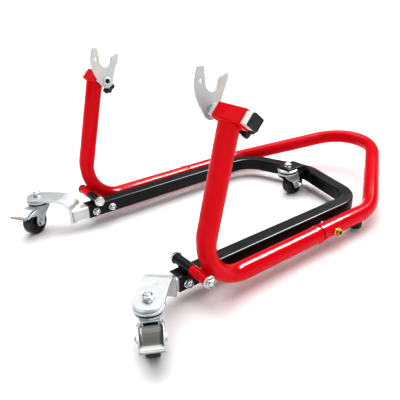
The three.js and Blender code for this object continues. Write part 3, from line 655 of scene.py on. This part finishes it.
def arm_stub():
    """Square tube that enters the dolly leg, mitred where it meets the upright end of the arm."""
    outer = square(STUB_SIZE, 3)
    inner = square(STUB_SIZE - 5, 1.5)

    def ring(section, y_of):
        return [(LEG_X + a, y_of(a), FRAME_Z + b) for a, b in section]

    def mitre(a):
        return a - (ARM_BACK_U - 0.3) / DIAGONAL

    return lofted([
        ring(outer, lambda a: 60), ring(outer, lambda a: 0), ring(outer, mitre),
        ring(inner, mitre), ring(inner, lambda a: 60),
    ], closed=True)


def stub_weld():
    back = (ARM_BACK_U - 1.2) / DIAGONAL
    outline = square(STUB_SIZE + 1.5, 3)
    return bead([(LEG_X + a, a - back, FRAME_Z + b) for a, b in outline], 1.9)


for tag in SIDES:
    piece(f"arm_plate_{tag}", arm_plate(), ZINC, "dolly", [f"caster_arm_{tag}"], side_matrix(tag))
    piece(f"arm_stub_{tag}", arm_stub(), ZINC, "dolly", (), side_matrix(tag))
    piece(f"arm_weld_{tag}", stub_weld(), ZINC, "dolly", (), side_matrix(tag))
    for place, y in ARM_BOLT_Y.items():
        left = SIDES[tag] * LEG_X - SQUARE / 2 - GAP
        right = SIDES[tag] * LEG_X + SQUARE / 2 + GAP
        piece(f"leg_bolt_{place}_{tag}", bolt(*M8, SQUARE + 8.4, 6.5), BRIGHT, "dolly",
              [f"arm_bolt_{place}_{tag}"], on_x(left, y, ARM_BOLT_Z))
        piece(f"leg_nut_{place}_{tag}", flange_nut(*M8, 8), BRIGHT, "dolly",
              [f"arm_nut_{place}_{tag}"], on_x(right, y, ARM_BOLT_Z))
    start = DOLLY_SLEEVE_X[0] - GAP
    length = STAND_SLEEVE_X[1] - start + 9
    piece(f"pivot_bolt_shank_{tag}", bolt(*M10, length, 7.5), BRIGHT, "dolly",
          [f"pivot_bolt_{tag}"], side_matrix(tag) @ on_x(start, PIVOT_Y, PIVOT_Z))
    seat = side_matrix(tag) @ on_x(STAND_SLEEVE_X[1] + GAP, PIVOT_Y, PIVOT_Z)
    piece(f"pivot_lock_nut_{tag}", flange_nut(*M10, 9), BRIGHT, "dolly", [f"pivot_nut_{tag}"], seat)


# ---------------- stand tubes
def upright_point(z):
    height = z - RUN_Z
    return Vector((SIDE_X + height * math.tan(SPLAY), UPRIGHT_FOOT_Y + height * math.tan(LEAN), z))


def upright_route():
    return bent_route(
        [upright_point(SOCKET_Z - 16), (SIDE_X, UPRIGHT_FOOT_Y, RUN_Z), (SIDE_X, JOINT_Y, RUN_Z)],
        (BEND_RADIUS,), 36, squeeze=0.09,
    )


UP = (upright_point(SOCKET_Z) - upright_point(RUN_Z)).normalized()
# directions across the two pairs of socket faces
E1 = Vector((0, math.cos(SOCKET_TURN), -math.sin(SOCKET_TURN)))
E2 = Vector((0, -math.sin(SOCKET_TURN), -math.cos(SOCKET_TURN)))
SOCKET_CENTRE = Vector((0, SOCKET_Y, SOCKET_Z))
SADDLE_LIMIT = 25.5


def saddle_ring(radius, shrink=0.0):
    """Where the upright meets the underside of the turned square socket."""
    base = upright_point(SOCKET_Z - 30)
    normal = Vector((1, 0, 0))
    normal = (normal - UP * normal.dot(UP)).normalized()
    side = UP.cross(normal)
    half = SOCKET_SIZE / 2 + shrink

    def in_socket(point):
        offset = point - SOCKET_CENTRE
        return abs(offset.dot(E1)) < half and abs(offset.dot(E2)) < half

    ring = []
    for a, b in circle(radius, 64):
        point, rise = base + normal * a + side * b, 8.0
        while rise < SADDLE_LIMIT and not in_socket(point + UP * rise):
            rise += 0.05
        ring.append(point + UP * min(rise, SADDLE_LIMIT))
    return ring


def match_ring(ring, other):
    """Turns a ring round so that its points line up with another ring's."""
    count = len(ring)
    flat_ring = [Vector(p) - UP * Vector(p).dot(UP) for p in ring]
    flat_other = [Vector(p) - UP * Vector(p).dot(UP) for p in other]
    shift, step = min(
        ((shift, step) for shift in range(count) for step in (1, -1)),
        key=lambda way: sum(
            (flat_ring[(way[0] + way[1] * j) % count] - flat_other[j]).length_squared
            for j in range(0, count, 8)
        ),
    )
    return [ring[(shift + step * j) % count] for j in range(count)]


def side_pipe():
    """One upright, bend and run, coped to the socket at the top and open at the slip joint."""
    route = upright_route()
    segments = 64
    outside = section_rings(route, circle(TUBE_RADIUS, segments))
    inside = section_rings(route, circle(TUBE_INSIDE, segments))
    top_out = match_ring(saddle_ring(TUBE_RADIUS), outside[0])
    top_in = match_ring(saddle_ring(TUBE_INSIDE), inside[0])
    end, tangent = route[-1][0], route[-1][1]
    rim = []
    for back, grow in ((12, 0), (8, 1.0), (4, 1.5), (1.4, 1.0), (0, -1.2)):
        rim.append([p - tangent * back + (p - end) * (grow / TUBE_RADIUS) for p in outside[-1]])
    outside = [top_out] + outside[:-1] + rim
    return lofted(outside + inside[::-1] + [top_in], closed=True)


def handle_route():
    """From one slip joint round the loop to the other."""
    side = [(SIDE_X, JOINT_Y + 3.2, RUN_Z), (SIDE_X, HANDLE_BEND_Y, RUN_Z)]
    other = [(-x, y, z) for x, y, z in reversed(side)]
    radii = (HANDLE_BEND_RADIUS, HANDLE_APEX_RADIUS, HANDLE_BEND_RADIUS)
    corners = [*side, (0, HANDLE_APEX_Y, HANDLE_APEX_Z), *other]
    return bent_route(corners, radii, 26, squeeze=0.06)


def spigot():
    """Thinner tube inside the slip joint, along Y."""
    start, end = JOINT_Y - 6, JOINT_Y + 80
    return along(Matrix.Rotation(-math.pi / 2, 4, "X"), turned([
        (11.5, start), (14.2, start), (14.2, end - 1), (13.2, end), (11.5, end), (11.5, start),
    ]))


def sleeve_weld():
    """Bead on both sides of the line where the sleeve touches the bend."""
    centre_y = UPRIGHT_FOOT_Y + BEND_RADIUS * math.tan((math.pi / 2 + LEAN) / 2)
    centre = Vector((SIDE_X, centre_y, RUN_Z + BEND_RADIUS))
    axis = Vector((SIDE_X, PIVOT_Y, PIVOT_Z))
    inward = (centre - axis).normalized()
    across = Vector((0, -inward.z, inward.y))
    points = []
    for angle in range(0, 360, 6):
        a = math.radians(angle)
        x, w = 11.5 * math.cos(a), 5.2 * math.sin(a)
        depth = SLEEVE_RADIUS - math.sqrt(SLEEVE_RADIUS ** 2 - w ** 2)
        rise = inward * (SLEEVE_RADIUS + 0.8 - depth)
        points.append(axis + Vector((x, 0, 0)) + across * w + rise)
    return bead(points, 2.0)


piece("handle_tube", pipe(handle_route(), circle(TUBE_RADIUS, 64), circle(TUBE_INSIDE, 64)), RED,
      "stand", ["handle"])

for tag in SIDES:
    mirror = side_matrix(tag)
    piece(f"upright_{tag}", side_pipe(), RED, "stand", [f"side_tube_{tag}"], mirror)
    # The spigot takes the dark red copy: painted shade in the groove between the tube ends.
    piece(f"spigot_{tag}", spigot(), SHADED_RED, "stand", (),
          Matrix.Translation((SIDES[tag] * SIDE_X, 0, RUN_Z)))
    piece(f"stand_sleeve_{tag}", sleeve(STAND_SLEEVE_X), RED, "stand",
          [f"stand_pivot_sleeve_{tag}"], mirror)
    piece(f"socket_weld_{tag}", bead(saddle_ring(TUBE_RADIUS + 0.2, 0.4), 1.5), RED, "stand", (),
          mirror)
    piece(f"pivot_weld_{tag}", sleeve_weld(), RED, "stand", (), mirror)
    seat = TUBE_RADIUS + GAP
    piece(f"slip_bolt_{tag}", bolt(4, 12, 2 * seat + 4.5, 5), BRIGHT, "stand",
          [f"handle_bolt_{tag}"], mirror @ on_x(SIDE_X - seat, HANDLE_BOLT_Y, RUN_Z))
    outboard = mirror @ on_x(SIDE_X + seat, HANDLE_BOLT_Y, RUN_Z)
    nut = joined(flange(8.4, 4.4, 0), hexagon(13, 1.4, 9, bore=4.4))
    piece(f"slip_nut_{tag}", nut, GOLD, "stand", [f"handle_nut_{tag}"], outboard)
    # Dark disc inside the nut: painted shade for its open bore.
    bore = turned([(0, 4.7), (4.3, 4.7), (4.3, 5.2), (0, 5.2)], 32)
    piece(f"slip_nut_bore_shade_{tag}", bore, HOLE_SHADE, "stand", (), outboard)


# ---------------- rubber feet
def foot():
    """Round pad whose top follows the underside of the run and whose sole has a dimple."""
    def sole(radius, height):
        return level_ring(radius, FOOT_BOTTOM + height)

    def saddle(radius):
        reach = TUBE_RADIUS + 0.2
        return [(x, y, RUN_Z - math.sqrt(reach ** 2 - x ** 2)) for x, y in circle(radius, 48)]

    levels = [(3.5, 3), (4.2, 0.4), (5, 0), (9.5, 0), (11.6, 0.6), (12.6, 2), (13, 4.5)]
    return lofted([sole(*level) for level in levels] + [saddle(r) for r in (13, 8, 3)])


for tag in SIDES:
    piece(f"foot_pad_{tag}", foot(), RUBBER, "stand", [f"rubber_foot_{tag}"],
          Matrix.Translation((SIDES[tag] * SIDE_X, FOOT_Y, 0)))


# ---------------- adapters
ADAPTER = Matrix.Translation((0, SOCKET_Y, SOCKET_Z)) @ Matrix.Rotation(-SOCKET_TURN, 4, "X")


def square_ring(x, size, corner):
    return [(x, a, b) for a, b in square(size, corner)]


def square_pipe(x0, x1, size, wall, corner):
    """Square tube along X with softened rims."""
    edge, inner, inner_corner = 0.4, size - 2 * wall, max(corner - wall, 0.4)
    return lofted([
        square_ring(x0, size - 2 * edge, corner - edge), square_ring(x0 + edge, size, corner),
        square_ring(x1 - edge, size, corner), square_ring(x1, size - 2 * edge, corner - edge),
        square_ring(x1, inner, inner_corner), square_ring(x0, inner, inner_corner),
    ], closed=True)


def knob():
    """Moulded clamping knob with rounded lobes, about the Y axis of the socket."""
    lobes, base, height = 5, KNOB_DISTANCE, 12
    levels = [(0.55, 0.0), (0.93, 0.35), (1.0, 1.6), (1.0, height - 3.2), (0.95, height - 1.4),
              (0.84, height - 0.4), (0.62, height), (0.5, height), (0.46, height - 0.8),
              (0.05, height - 0.8)]
    rings = []
    for scale, y in levels:
        ring = []
        for a in (2 * math.pi * i / 120 for i in range(120)):
            r = scale * (12.6 + 2.6 * math.cos(lobes * a) - 0.5 * math.cos(2 * lobes * a))
            ring.append((r * math.cos(a), base + y, r * math.sin(a)))
        rings.append(ring)
    head = lofted(rings)
    neck = along(Matrix.Rotation(-math.pi / 2, 4, "X"), turned([
        (0, base - 7.5), (6.2, base - 7.5), (6.8, base - 6.8), (6.8, base + 0.5), (0, base + 0.5),
    ], 40))
    return joined(head, neck)


def knob_stud():
    """Threaded stud from the knob to just short of the adapter bar."""
    return along(Matrix.Rotation(-math.pi / 2, 4, "X"), thread(4, 10.4, KNOB_DISTANCE - 5))


def softened(points, rounds=2):
    """Corner cutting, which turns a drawn outline into a smooth one."""
    for _ in range(rounds):
        cut = []
        for p, q in zip(points, points[1:] + points[:1]):
            cut.append((0.75 * p[0] + 0.25 * q[0], 0.75 * p[1] + 0.25 * q[1]))
            cut.append((0.25 * p[0] + 0.75 * q[0], 0.25 * p[1] + 0.75 * q[1]))
        points = cut
    return points


def fork_outline():
    """Outline about the bolt hole as (y, z): long front prong, V notch, short rear prong."""
    points = arc(0, 0, 15, 200, 345, 12)
    points += [(17.6, 10), (21, 19), (25.6, 28.5), (30, 38), (33, 45.5)]
    points += arc(28.8, 48, 4.2, -15, 125, 5)
    points += [(20.5, 49), (15.6, 45.5)]
    points += arc(2.0, 40.5, 12.2, 4, -184, 16)
    points += [(-10.6, 48), (-11.6, 56)]
    points += arc(-18, 62, 6.4, 5, 170, 9)
    points += [(-27.6, 53), (-29.6, 43), (-29.3, 32), (-26.6, 19.5), (-20.8, 7.5)]
    return softened(points)


def fork_plate():
    hole = circle(5.3, 32)
    small = [(-18 + x, 46 + y) for x, y in circle(3, 24)]
    return along(PLATE_TURN, plate(fork_outline(), [hole, small], PLATE_X[1] - PLATE_X[0], 1.1))


def socket_boss():
    """Threaded boss under the socket, which the clamp stud goes through."""
    return along(Matrix.Rotation(-math.pi / 2, 4, "X"), turned([
        (4.4, 12), (8.6, 12), (8.2, 13.2), (7.6, 19.2), (7, 20.2), (4.4, 20.2), (4.4, 12),
    ], 40))


def bar_end_plate():
    return lofted([square_ring(BAR_X[0] + x, 17, 0.8) for x in (0.2, 2)])


def bar_cap():
    """Moulded cap over the outer end of the bar, with a sunk face."""
    deep = CAP_THICKNESS
    levels = [(0, 19.4, 1.4), (0.4, 20.6, 2), (deep - 1.2, 20.6, 2), (deep - 0.3, 19.8, 2),
              (deep, 18.4, 1.6), (deep, 16.4, 1.2), (deep - 0.6, 15.8, 1)]
    return lofted([square_ring(BAR_X[1] + GAP + x, size, corner) for x, size, corner in levels])


def fork_bolt_head():
    return turned([
        (0, 0.3), (8.2, 0.3), (8.8, 0.8), (8.4, 2.2), (6.8, 3.2), (5.2, 3.4), (4.8, 3), (4.7, 0.9),
        (0, 0.8),
    ])


def fork_nut():
    washer = turned([
        (5.4, 0.3), (10.6, 0.3), (11, 0.6), (11, 1.7), (10.6, 2), (5.4, 2), (5.4, 0.3)])
    return joined(washer, hexagon(17, 2.1, 6.2, bottom=True, bore=5.2))


PLATE_TURN = Matrix((
    (0, 0, 1, sum(PLATE_X) / 2), (1, 0, 0, SOCKET_Y), (0, 1, 0, SOCKET_Z), (0, 0, 0, 1)))
CAP_MATERIAL = {"l": CAP, "r": PALE}

for tag in SIDES:
    adapter, mirror = f"adapter_{tag}", side_matrix(tag)
    place = mirror @ ADAPTER
    middle = place @ Matrix.Translation((sum(SOCKET_X) / 2, 0, 0))
    inboard, outboard = (place @ on_x(PLATE_X[0], 0, 0, -1)), (place @ on_x(PLATE_X[1], 0, 0))
    piece(f"socket_tube_{tag}", square_pipe(*SOCKET_X, SOCKET_SIZE, SOCKET_WALL, 2.6), RED, "stand",
          [f"adapter_socket_{tag}"], place)
    piece(f"socket_boss_{tag}", socket_boss(), RED, "stand", (), middle)
    piece(f"bar_tube_{tag}", square_pipe(*BAR_X, BAR_SIZE, BAR_WALL, 1.8), WARM, adapter,
          [f"adapter_bar_{tag}"], place)
    piece(f"bar_end_plate_{tag}", bar_end_plate(), ZINC, adapter, (), place)
    piece(f"bar_cap_{tag}", bar_cap(), CAP_MATERIAL[tag], adapter, [f"end_cap_{tag}"], place)
    piece(f"knob_{tag}", knob(), CAP, f"knob_{tag}", [f"clamp_knob_{tag}"], middle)
    piece(f"knob_stud_{tag}", knob_stud(), BRIGHT, f"knob_{tag}", (), middle)
    piece(f"fork_{tag}", fork_plate(), MATT, adapter, [f"fork_plate_{tag}"], mirror)
    piece(f"fork_bolt_head_{tag}", fork_bolt_head(), MATT, adapter, [f"fork_bolt_{tag}"], inboard)
    # Dark hexagon in the head's recess: painted shade for the hex socket.
    piece(f"fork_bolt_socket_shade_{tag}", hexagon(9.0, 0.9, 2.7, top=False), HOLE_SHADE, adapter, (), inboard)
    piece(f"fork_lock_nut_{tag}", fork_nut(), BRIGHT, adapter, [f"fork_nut_{tag}"], outboard)


# ---------------- casters
JOINTS = {joint["name"]: joint for joint in frame["joints"]}


def caster_matrix(tag):
    """From the caster's own frame, with the wheel trailing to +X, to design millimetres."""
    pin = Vector(JOINTS[f"caster_swivel_{tag}"]["pos_m"])
    hub = Vector(JOINTS[f"wheel_spin_{tag}"]["pos_m"])
    yaw = math.atan2(hub.y - pin.y, hub.x - pin.x)
    base = (pin - ORIGIN) * 1000
    return Matrix.Translation((base.x, base.y, 0)) @ Matrix.Rotation(yaw, 4, "Z")


def caster_head(top, stem):
    """Upper race cup with the threaded stem that stands through the arm."""
    cup = turned([
        (0, 63.0), (12, 63.0), (18, 63.6), (22.2, 65.0), (23.8, 66.2), (24.2, 67.4), (24, 69.4),
        (23.2, 70.6), (21.6, 71.5), (5.2, 71.6), (0, 71.6),
    ], 64)
    return joined(cup, thread(5, 71, top + stem, 1.5))


def stem_nut(z0):
    """Flanged nut on the threaded stem, about Z."""
    return along(Matrix.Translation((0, 0, z0)), joined(
        flange(8.8, 5.2, 0, 1.8), hexagon(14, 1.6, 8.6, bore=5.2)))


def fork_cheek():
    """One side of the pressed fork as (x, z)."""
    return rounded([
        (-21, 59.5), (-18.5, 52), (-9, 45), (3, 37), (11, 24), (16, 18.6), (22, 17.3), (29, 19.5),
        (31.5, 27), (30.5, 38), (28, 48), (25, 59.5),
    ], (1, 6, 8, 8, 8, 6, 8, 7, 8, 12, 8, 1), 5)


def caster_fork():
    """Lower race, crown and two cheeks that lean in towards the crown."""
    race = turned([
        (0, 57.2), (16, 57.2), (20.5, 58.0), (22.6, 59.2), (23, 60.4), (22, 61.6), (18, 62.1),
        (0, 62.1),
    ], 64)
    lean_in, lean_start, lean_length = 1.6, 40, 16
    axle_hole = [(TRAIL + x, WHEEL_RADIUS + z) for x, z in circle(4.3, 24)]
    cheeks = []
    for side in (1, -1):
        cheek = sliced(plate(fork_cheek(), [axle_hole], FORK_SHEET, 0.7), 1,
                       [20 + 2 * i for i in range(20)])
        for v in cheek.verts:
            z = v.co.y
            tuck = lean_in * max(0.0, min(1.0, (z - lean_start) / lean_length))
            v.co = (v.co.x, side * (FORK_HALF_GAP + FORK_SHEET / 2 - tuck) + v.co.z, z)
        cheeks.append(cheek)
    crown = plate(rounded([(-20.5, -15), (25, -15), (25, 15), (-20.5, 15)], 6, 5), [], 3, 0.9)
    return joined(race, along(Matrix.Translation((0, 0, 57.9)), crown), *cheeks)


def ball_track():
    """Greased ring of balls between the two races."""
    return turned([(0, 61.2), (20.6, 61.2), (21.4, 62), (20.8, 62.8), (0, 62.8)], 64)


def wheel():
    """Moulded wheel with a hub, recessed sides with six spokes and a rounded tread."""
    half = WHEEL_WIDTH / 2
    tread = [(WHEEL_RADIUS - 3.2 + 3.2 * math.cos(a), 3.6 - half + 3.4 * math.sin(a))
             for a in map(math.radians, (-80, -60, -40, -20))]
    lower = [(4.4, -half - 1), (8.6, -half - 1), (9.2, -half - 0.4), (9.6, -half + 3),
             (19.4, -half + 3.2), (20.2, -half + 0.6), (21, -half), (23.6, -half)]
    lower += tread + [(WHEEL_RADIUS, -3)]
    upper = [(radius, -z) for radius, z in reversed(lower)]
    spokes = []
    for i in range(6):
        for side in (1, -1):
            rib = plate(rounded([(9, -1.2), (20, -1.2), (20, 1.2), (9, 1.2)], 0.4, 2), [], 2.4, 0.3)
            lift = Matrix.Translation((0, 0, side * (half - 2.6)))
            spokes.append(along(Matrix.Rotation(i * math.pi / 3, 4, "Z") @ lift, rib))
    body = turned(lower + upper + lower[:1], 80)
    return along(Matrix.Rotation(math.pi / 2, 4, "X"), joined(body, *spokes))


def axle():
    """Axle bolt through both cheeks, along Y, with its head on one side and nut on the other."""
    seat = FORK_HALF_GAP + FORK_SHEET + 0.5
    back = Matrix.Rotation(math.pi, 4, "X") @ Matrix.Translation((0, 0, seat))
    washer = turned([(0, 0), (7.6, 0), (7.6, 1), (0, 1)])
    head = along(back, joined(hexagon(13, 0, 5.2, dish=4.6), washer))
    collar = turned([(4.1, 5), (5.7, 5), (5.3, 6.3), (4.1, 6.3), (4.1, 5)], 40)
    nut = joined(flange(8.2, 4.1, 0, 1.2), hexagon(12.6, 1, 5.2, bore=4.1), collar)
    nut = along(Matrix.Translation((0, 0, seat)), nut)
    shank = turned([(0, -seat), (4, -seat), (4, seat + 3), (0, seat + 3)], 32)
    end = thread(4, seat + 3, seat + 8)
    return along(Matrix.Rotation(math.pi / 2, 4, "X"), joined(head, nut, shank, end))


PEDAL_LINE = [
    (9.0, 10.4), (15.0, 10.9), (20.5, 9.6), (27, 7.2), (34, 4.2), (39.5, 2.5), (43.5, 2.4),
    (46.8, 3.4), (49.2, 5.2), (50.4, 7.0), (49.6, 8.2), (48.2, 8.0),
]
PEDAL_LENGTH = length_of(PEDAL_LINE)
PEDAL_HALF_WIDTHS = [(0, 15.6), (7, 17.2), (16, 16.2), (26, 15.6), (33, 16.6), (40, 18), (60, 18)]


def pedal_half_width(s):
    """Half width of the tread at a length from its hinge end, eased between the listed ones."""
    for (s0, w0), (s1, w1) in zip(PEDAL_HALF_WIDTHS, PEDAL_HALF_WIDTHS[1:]):
        if s <= s1:
            t = (s - s0) / (s1 - s0)
            return w0 + (w1 - w0) * t * t * (3 - 2 * t)
    return PEDAL_HALF_WIDTHS[-1][1]


def pedal_skin(start, end):
    """Length of the tread from start to end, with raised side rims."""
    rim_width, rim_height, fade = 5.0, 3.6, 12
    stations = [start + (end - start) * i / 20 for i in range(21)]
    outline = [(s, -pedal_half_width(s)) for s in stations]
    outline += [(s, pedal_half_width(s)) for s in reversed(stations)]
    bm = plate(outline, [], 1.8, 0.45)
    sliced(bm, 0, [start + 1.2 * i for i in range(1, int((end - start) / 1.2))])
    sliced(bm, 1, [side * (10 + i) for side in (1, -1) for i in range(7)])
    for v in bm.verts:
        s = v.co.x
        edge = max(0.0, abs(v.co.y) - (pedal_half_width(s) - rim_width)) / rim_width
        window = max(0.0, min(1.0, (s + 1) / 6))
        window *= max(0.0, min(1.0, (PEDAL_LENGTH - fade - s) / fade))
        v.co.z += rim_height * edge * edge * window
    return bent_along(bm, PEDAL_LINE)


def pedal_ears():
    """Side plates of the pedal, outside the fork cheeks."""
    outline = rounded([
        (-4.6, -4.2), (4.6, -5.2), (15, -1.6), (30, 2.2), (38, 1.0), (39, 2.6), (30, 7.0),
        (15, 10.6), (7, 10.6), (-4.6, 4.6)], (4, 4, 6, 4, 1, 1, 3, 3, 4, 4), 5)
    upright = Matrix.Rotation(math.pi / 2, 4, "X")
    ears = []
    for side in (1, -1):
        shift = Matrix.Translation((0, side * (PEDAL_WIDTH / 2 - 0.75), 0))
        ears.append(along(shift @ upright, plate(outline, [circle(2.8, 24)], 1.8, 0.5)))
    return joined(*ears)


def hinge_pins():
    """Two short pins, one in each cheek, that leave the wheel free between them."""
    near, far = WHEEL_WIDTH / 2 + 1.6, FORK_HALF_GAP + FORK_SHEET + 3.6
    pins = []
    for side in (1, -1):
        stub = turned([
            (0, near), (2.6, near), (2.6, far - 1.2), (3.4, far - 0.7), (2.9, far), (0, far)], 28)
        pins.append(along(Matrix.Rotation(-side * math.pi / 2, 4, "X"), stub))
    return joined(*pins)


PEDAL_MATERIAL = {"l": DARK_ZINC, "r": ZINC}
PEDAL_LIP_START, PEDAL_OVERLAP = 28.8, 0.2

for tag in ("l", "r", "rear"):
    place = caster_matrix(tag)
    caster, wheel_body, pedal = f"caster_{tag}", f"wheel_{tag}", f"pedal_{tag}"
    top = CASTER_TOP + (BRACKET_THICKNESS if tag == "rear" else ARM_THICKNESS)
    piece(f"race_cup_{tag}", caster_head(top, 9 if tag == "rear" else 10.5), ZINC, "dolly",
          [f"caster_head_{tag}"], place)
    piece(f"stem_nut_{tag}", stem_nut(top + GAP), BRIGHT, "dolly", [f"caster_nut_{tag}"], place)
    piece(f"fork_shell_{tag}", caster_fork(), ZINC, caster, [f"caster_fork_{tag}"], place)
    piece(f"ball_race_{tag}", ball_track(), GREASE, caster, (), place)
    hub = place @ Matrix.Translation((TRAIL, 0, WHEEL_RADIUS))
    piece(f"wheel_tyre_{tag}", wheel(), WHEEL, wheel_body, [f"caster_wheel_{tag}"], hub)
    piece(f"axle_bolt_{tag}", axle(), BRIGHT, caster, [f"caster_axle_{tag}"], hub)
    if tag == "rear":
        continue
    at_pin = place @ Matrix.Translation((PEDAL_PIN[0], 0, PEDAL_PIN[1]))
    pressed = at_pin @ Matrix.Rotation(math.radians(PEDAL_PRESSED[tag]), 4, "Y")
    piece(f"pedal_pin_{tag}", hinge_pins(), BRIGHT, caster, (), at_pin)
    piece(f"pedal_tread_{tag}", pedal_skin(0, PEDAL_LIP_START + PEDAL_OVERLAP), PEDAL_MATERIAL[tag],
          pedal, [f"brake_pedal_{tag}"], pressed)
    piece(f"pedal_lip_{tag}", pedal_skin(PEDAL_LIP_START, PEDAL_LENGTH), SATIN, pedal, (), pressed)
    piece(f"pedal_ears_{tag}", pedal_ears(), ZINC, pedal, (), pressed)


# ---------------- stage, light and camera
def floor_material():
    s = Shader("pale_floor", Roughness=0.9, Specular_IOR_Level=0.05)
    color = s.ramp(s.noise(3, 2), [(0.3, (0.95, 0.945, 0.95)), (0.7, (0.98, 0.975, 0.98))])
    return s.finish(color)


def add_floor():
    """Wide shallow dish in metres, flat under the object and rising far away."""
    bm = turned([(0, 0), (40, 0), (47, 0.8), (53, 3), (57, 6), (60, 10)], 96)
    for face in bm.faces:
        if face.normal.z < 0:
            face.normal_flip()
    mesh = bpy.data.meshes.new("studio_floor")
    bm.to_mesh(mesh)
    bm.free()
    mesh.materials.append(floor_material())
    new_object("studio_floor", mesh)


def softbox(name, place, size, power):
    """Rectangular light facing straight down, seen only in reflections."""
    data = bpy.data.lights.new(name, "AREA")
    data.shape, data.size, data.size_y = "RECTANGLE", *size
    data.energy = power
    light = new_object(name, data)
    light.location = place
    light.visible_diffuse = False


def wide_light(name, direction, strength, angle):
    """Far soft light that reaches the whole floor evenly."""
    data = bpy.data.lights.new(name, "SUN")
    data.energy, data.angle = strength, math.radians(angle)
    light = new_object(name, data)
    light.location = direction
    light.rotation_mode = "QUATERNION"
    light.rotation_quaternion = (-Vector(direction)).to_track_quat("-Z", "Y")


def add_world(strength):
    world = bpy.data.worlds.new("studio")
    bpy.context.scene.world = world
    world.use_nodes = True
    background = world.node_tree.nodes["Background"]
    background.inputs["Color"].default_value = (1.0, 1.0, 1.0, 1)
    background.inputs["Strength"].default_value = strength


CAMERA_PLACE = (700.4, -327.0, 473.8)
CAMERA_AZIMUTH, CAMERA_ELEVATION, CAMERA_ROLL = 54.211, 25.115, -2.216
SENSOR, LENS, SHIFT_X, SHIFT_Y = 36, 40.356, 0.00705, 0.0017125


def add_camera():
    azimuth, elevation, roll = map(
        math.radians, (CAMERA_AZIMUTH, CAMERA_ELEVATION, CAMERA_ROLL))
    forward = Vector((
        -math.sin(azimuth) * math.cos(elevation), math.cos(azimuth) * math.cos(elevation),
        -math.sin(elevation)))
    level = forward.cross(Vector((0, 0, 1))).normalized()
    down = forward.cross(level)
    right = level * math.cos(roll) - down * math.sin(roll)
    up = -(level * math.sin(roll) + down * math.cos(roll))
    data = bpy.data.cameras.new("camera")
    data.sensor_width, data.lens = SENSOR, LENS
    data.shift_x, data.shift_y = SHIFT_X, SHIFT_Y
    data.clip_start, data.clip_end = 0.01, 200
    camera = new_object("camera", data)
    basis = Matrix((right, up, -forward)).transposed().to_4x4()
    camera.matrix_world = Matrix.Translation(MM @ Vector(CAMERA_PLACE)) @ basis
    bpy.context.scene.camera = camera


add_floor()
add_world(0.23)
wide_light("key", (-0.35, 0.25, 1.4), 1.85, 60)
wide_light("fill_left", (-0.9, -0.5, 1.2), 0.32, 50)
wide_light("fill_right", (1.0, 0.0, 1.0), 0.55, 50)
softbox("overhead_strip", (0.15, 1.15, 1.5), (0.8, 1.2), 120)
add_camera()
bpy.context.scene.view_settings.view_transform = "Standard"
bpy.context.scene.view_settings.look = "High Contrast"
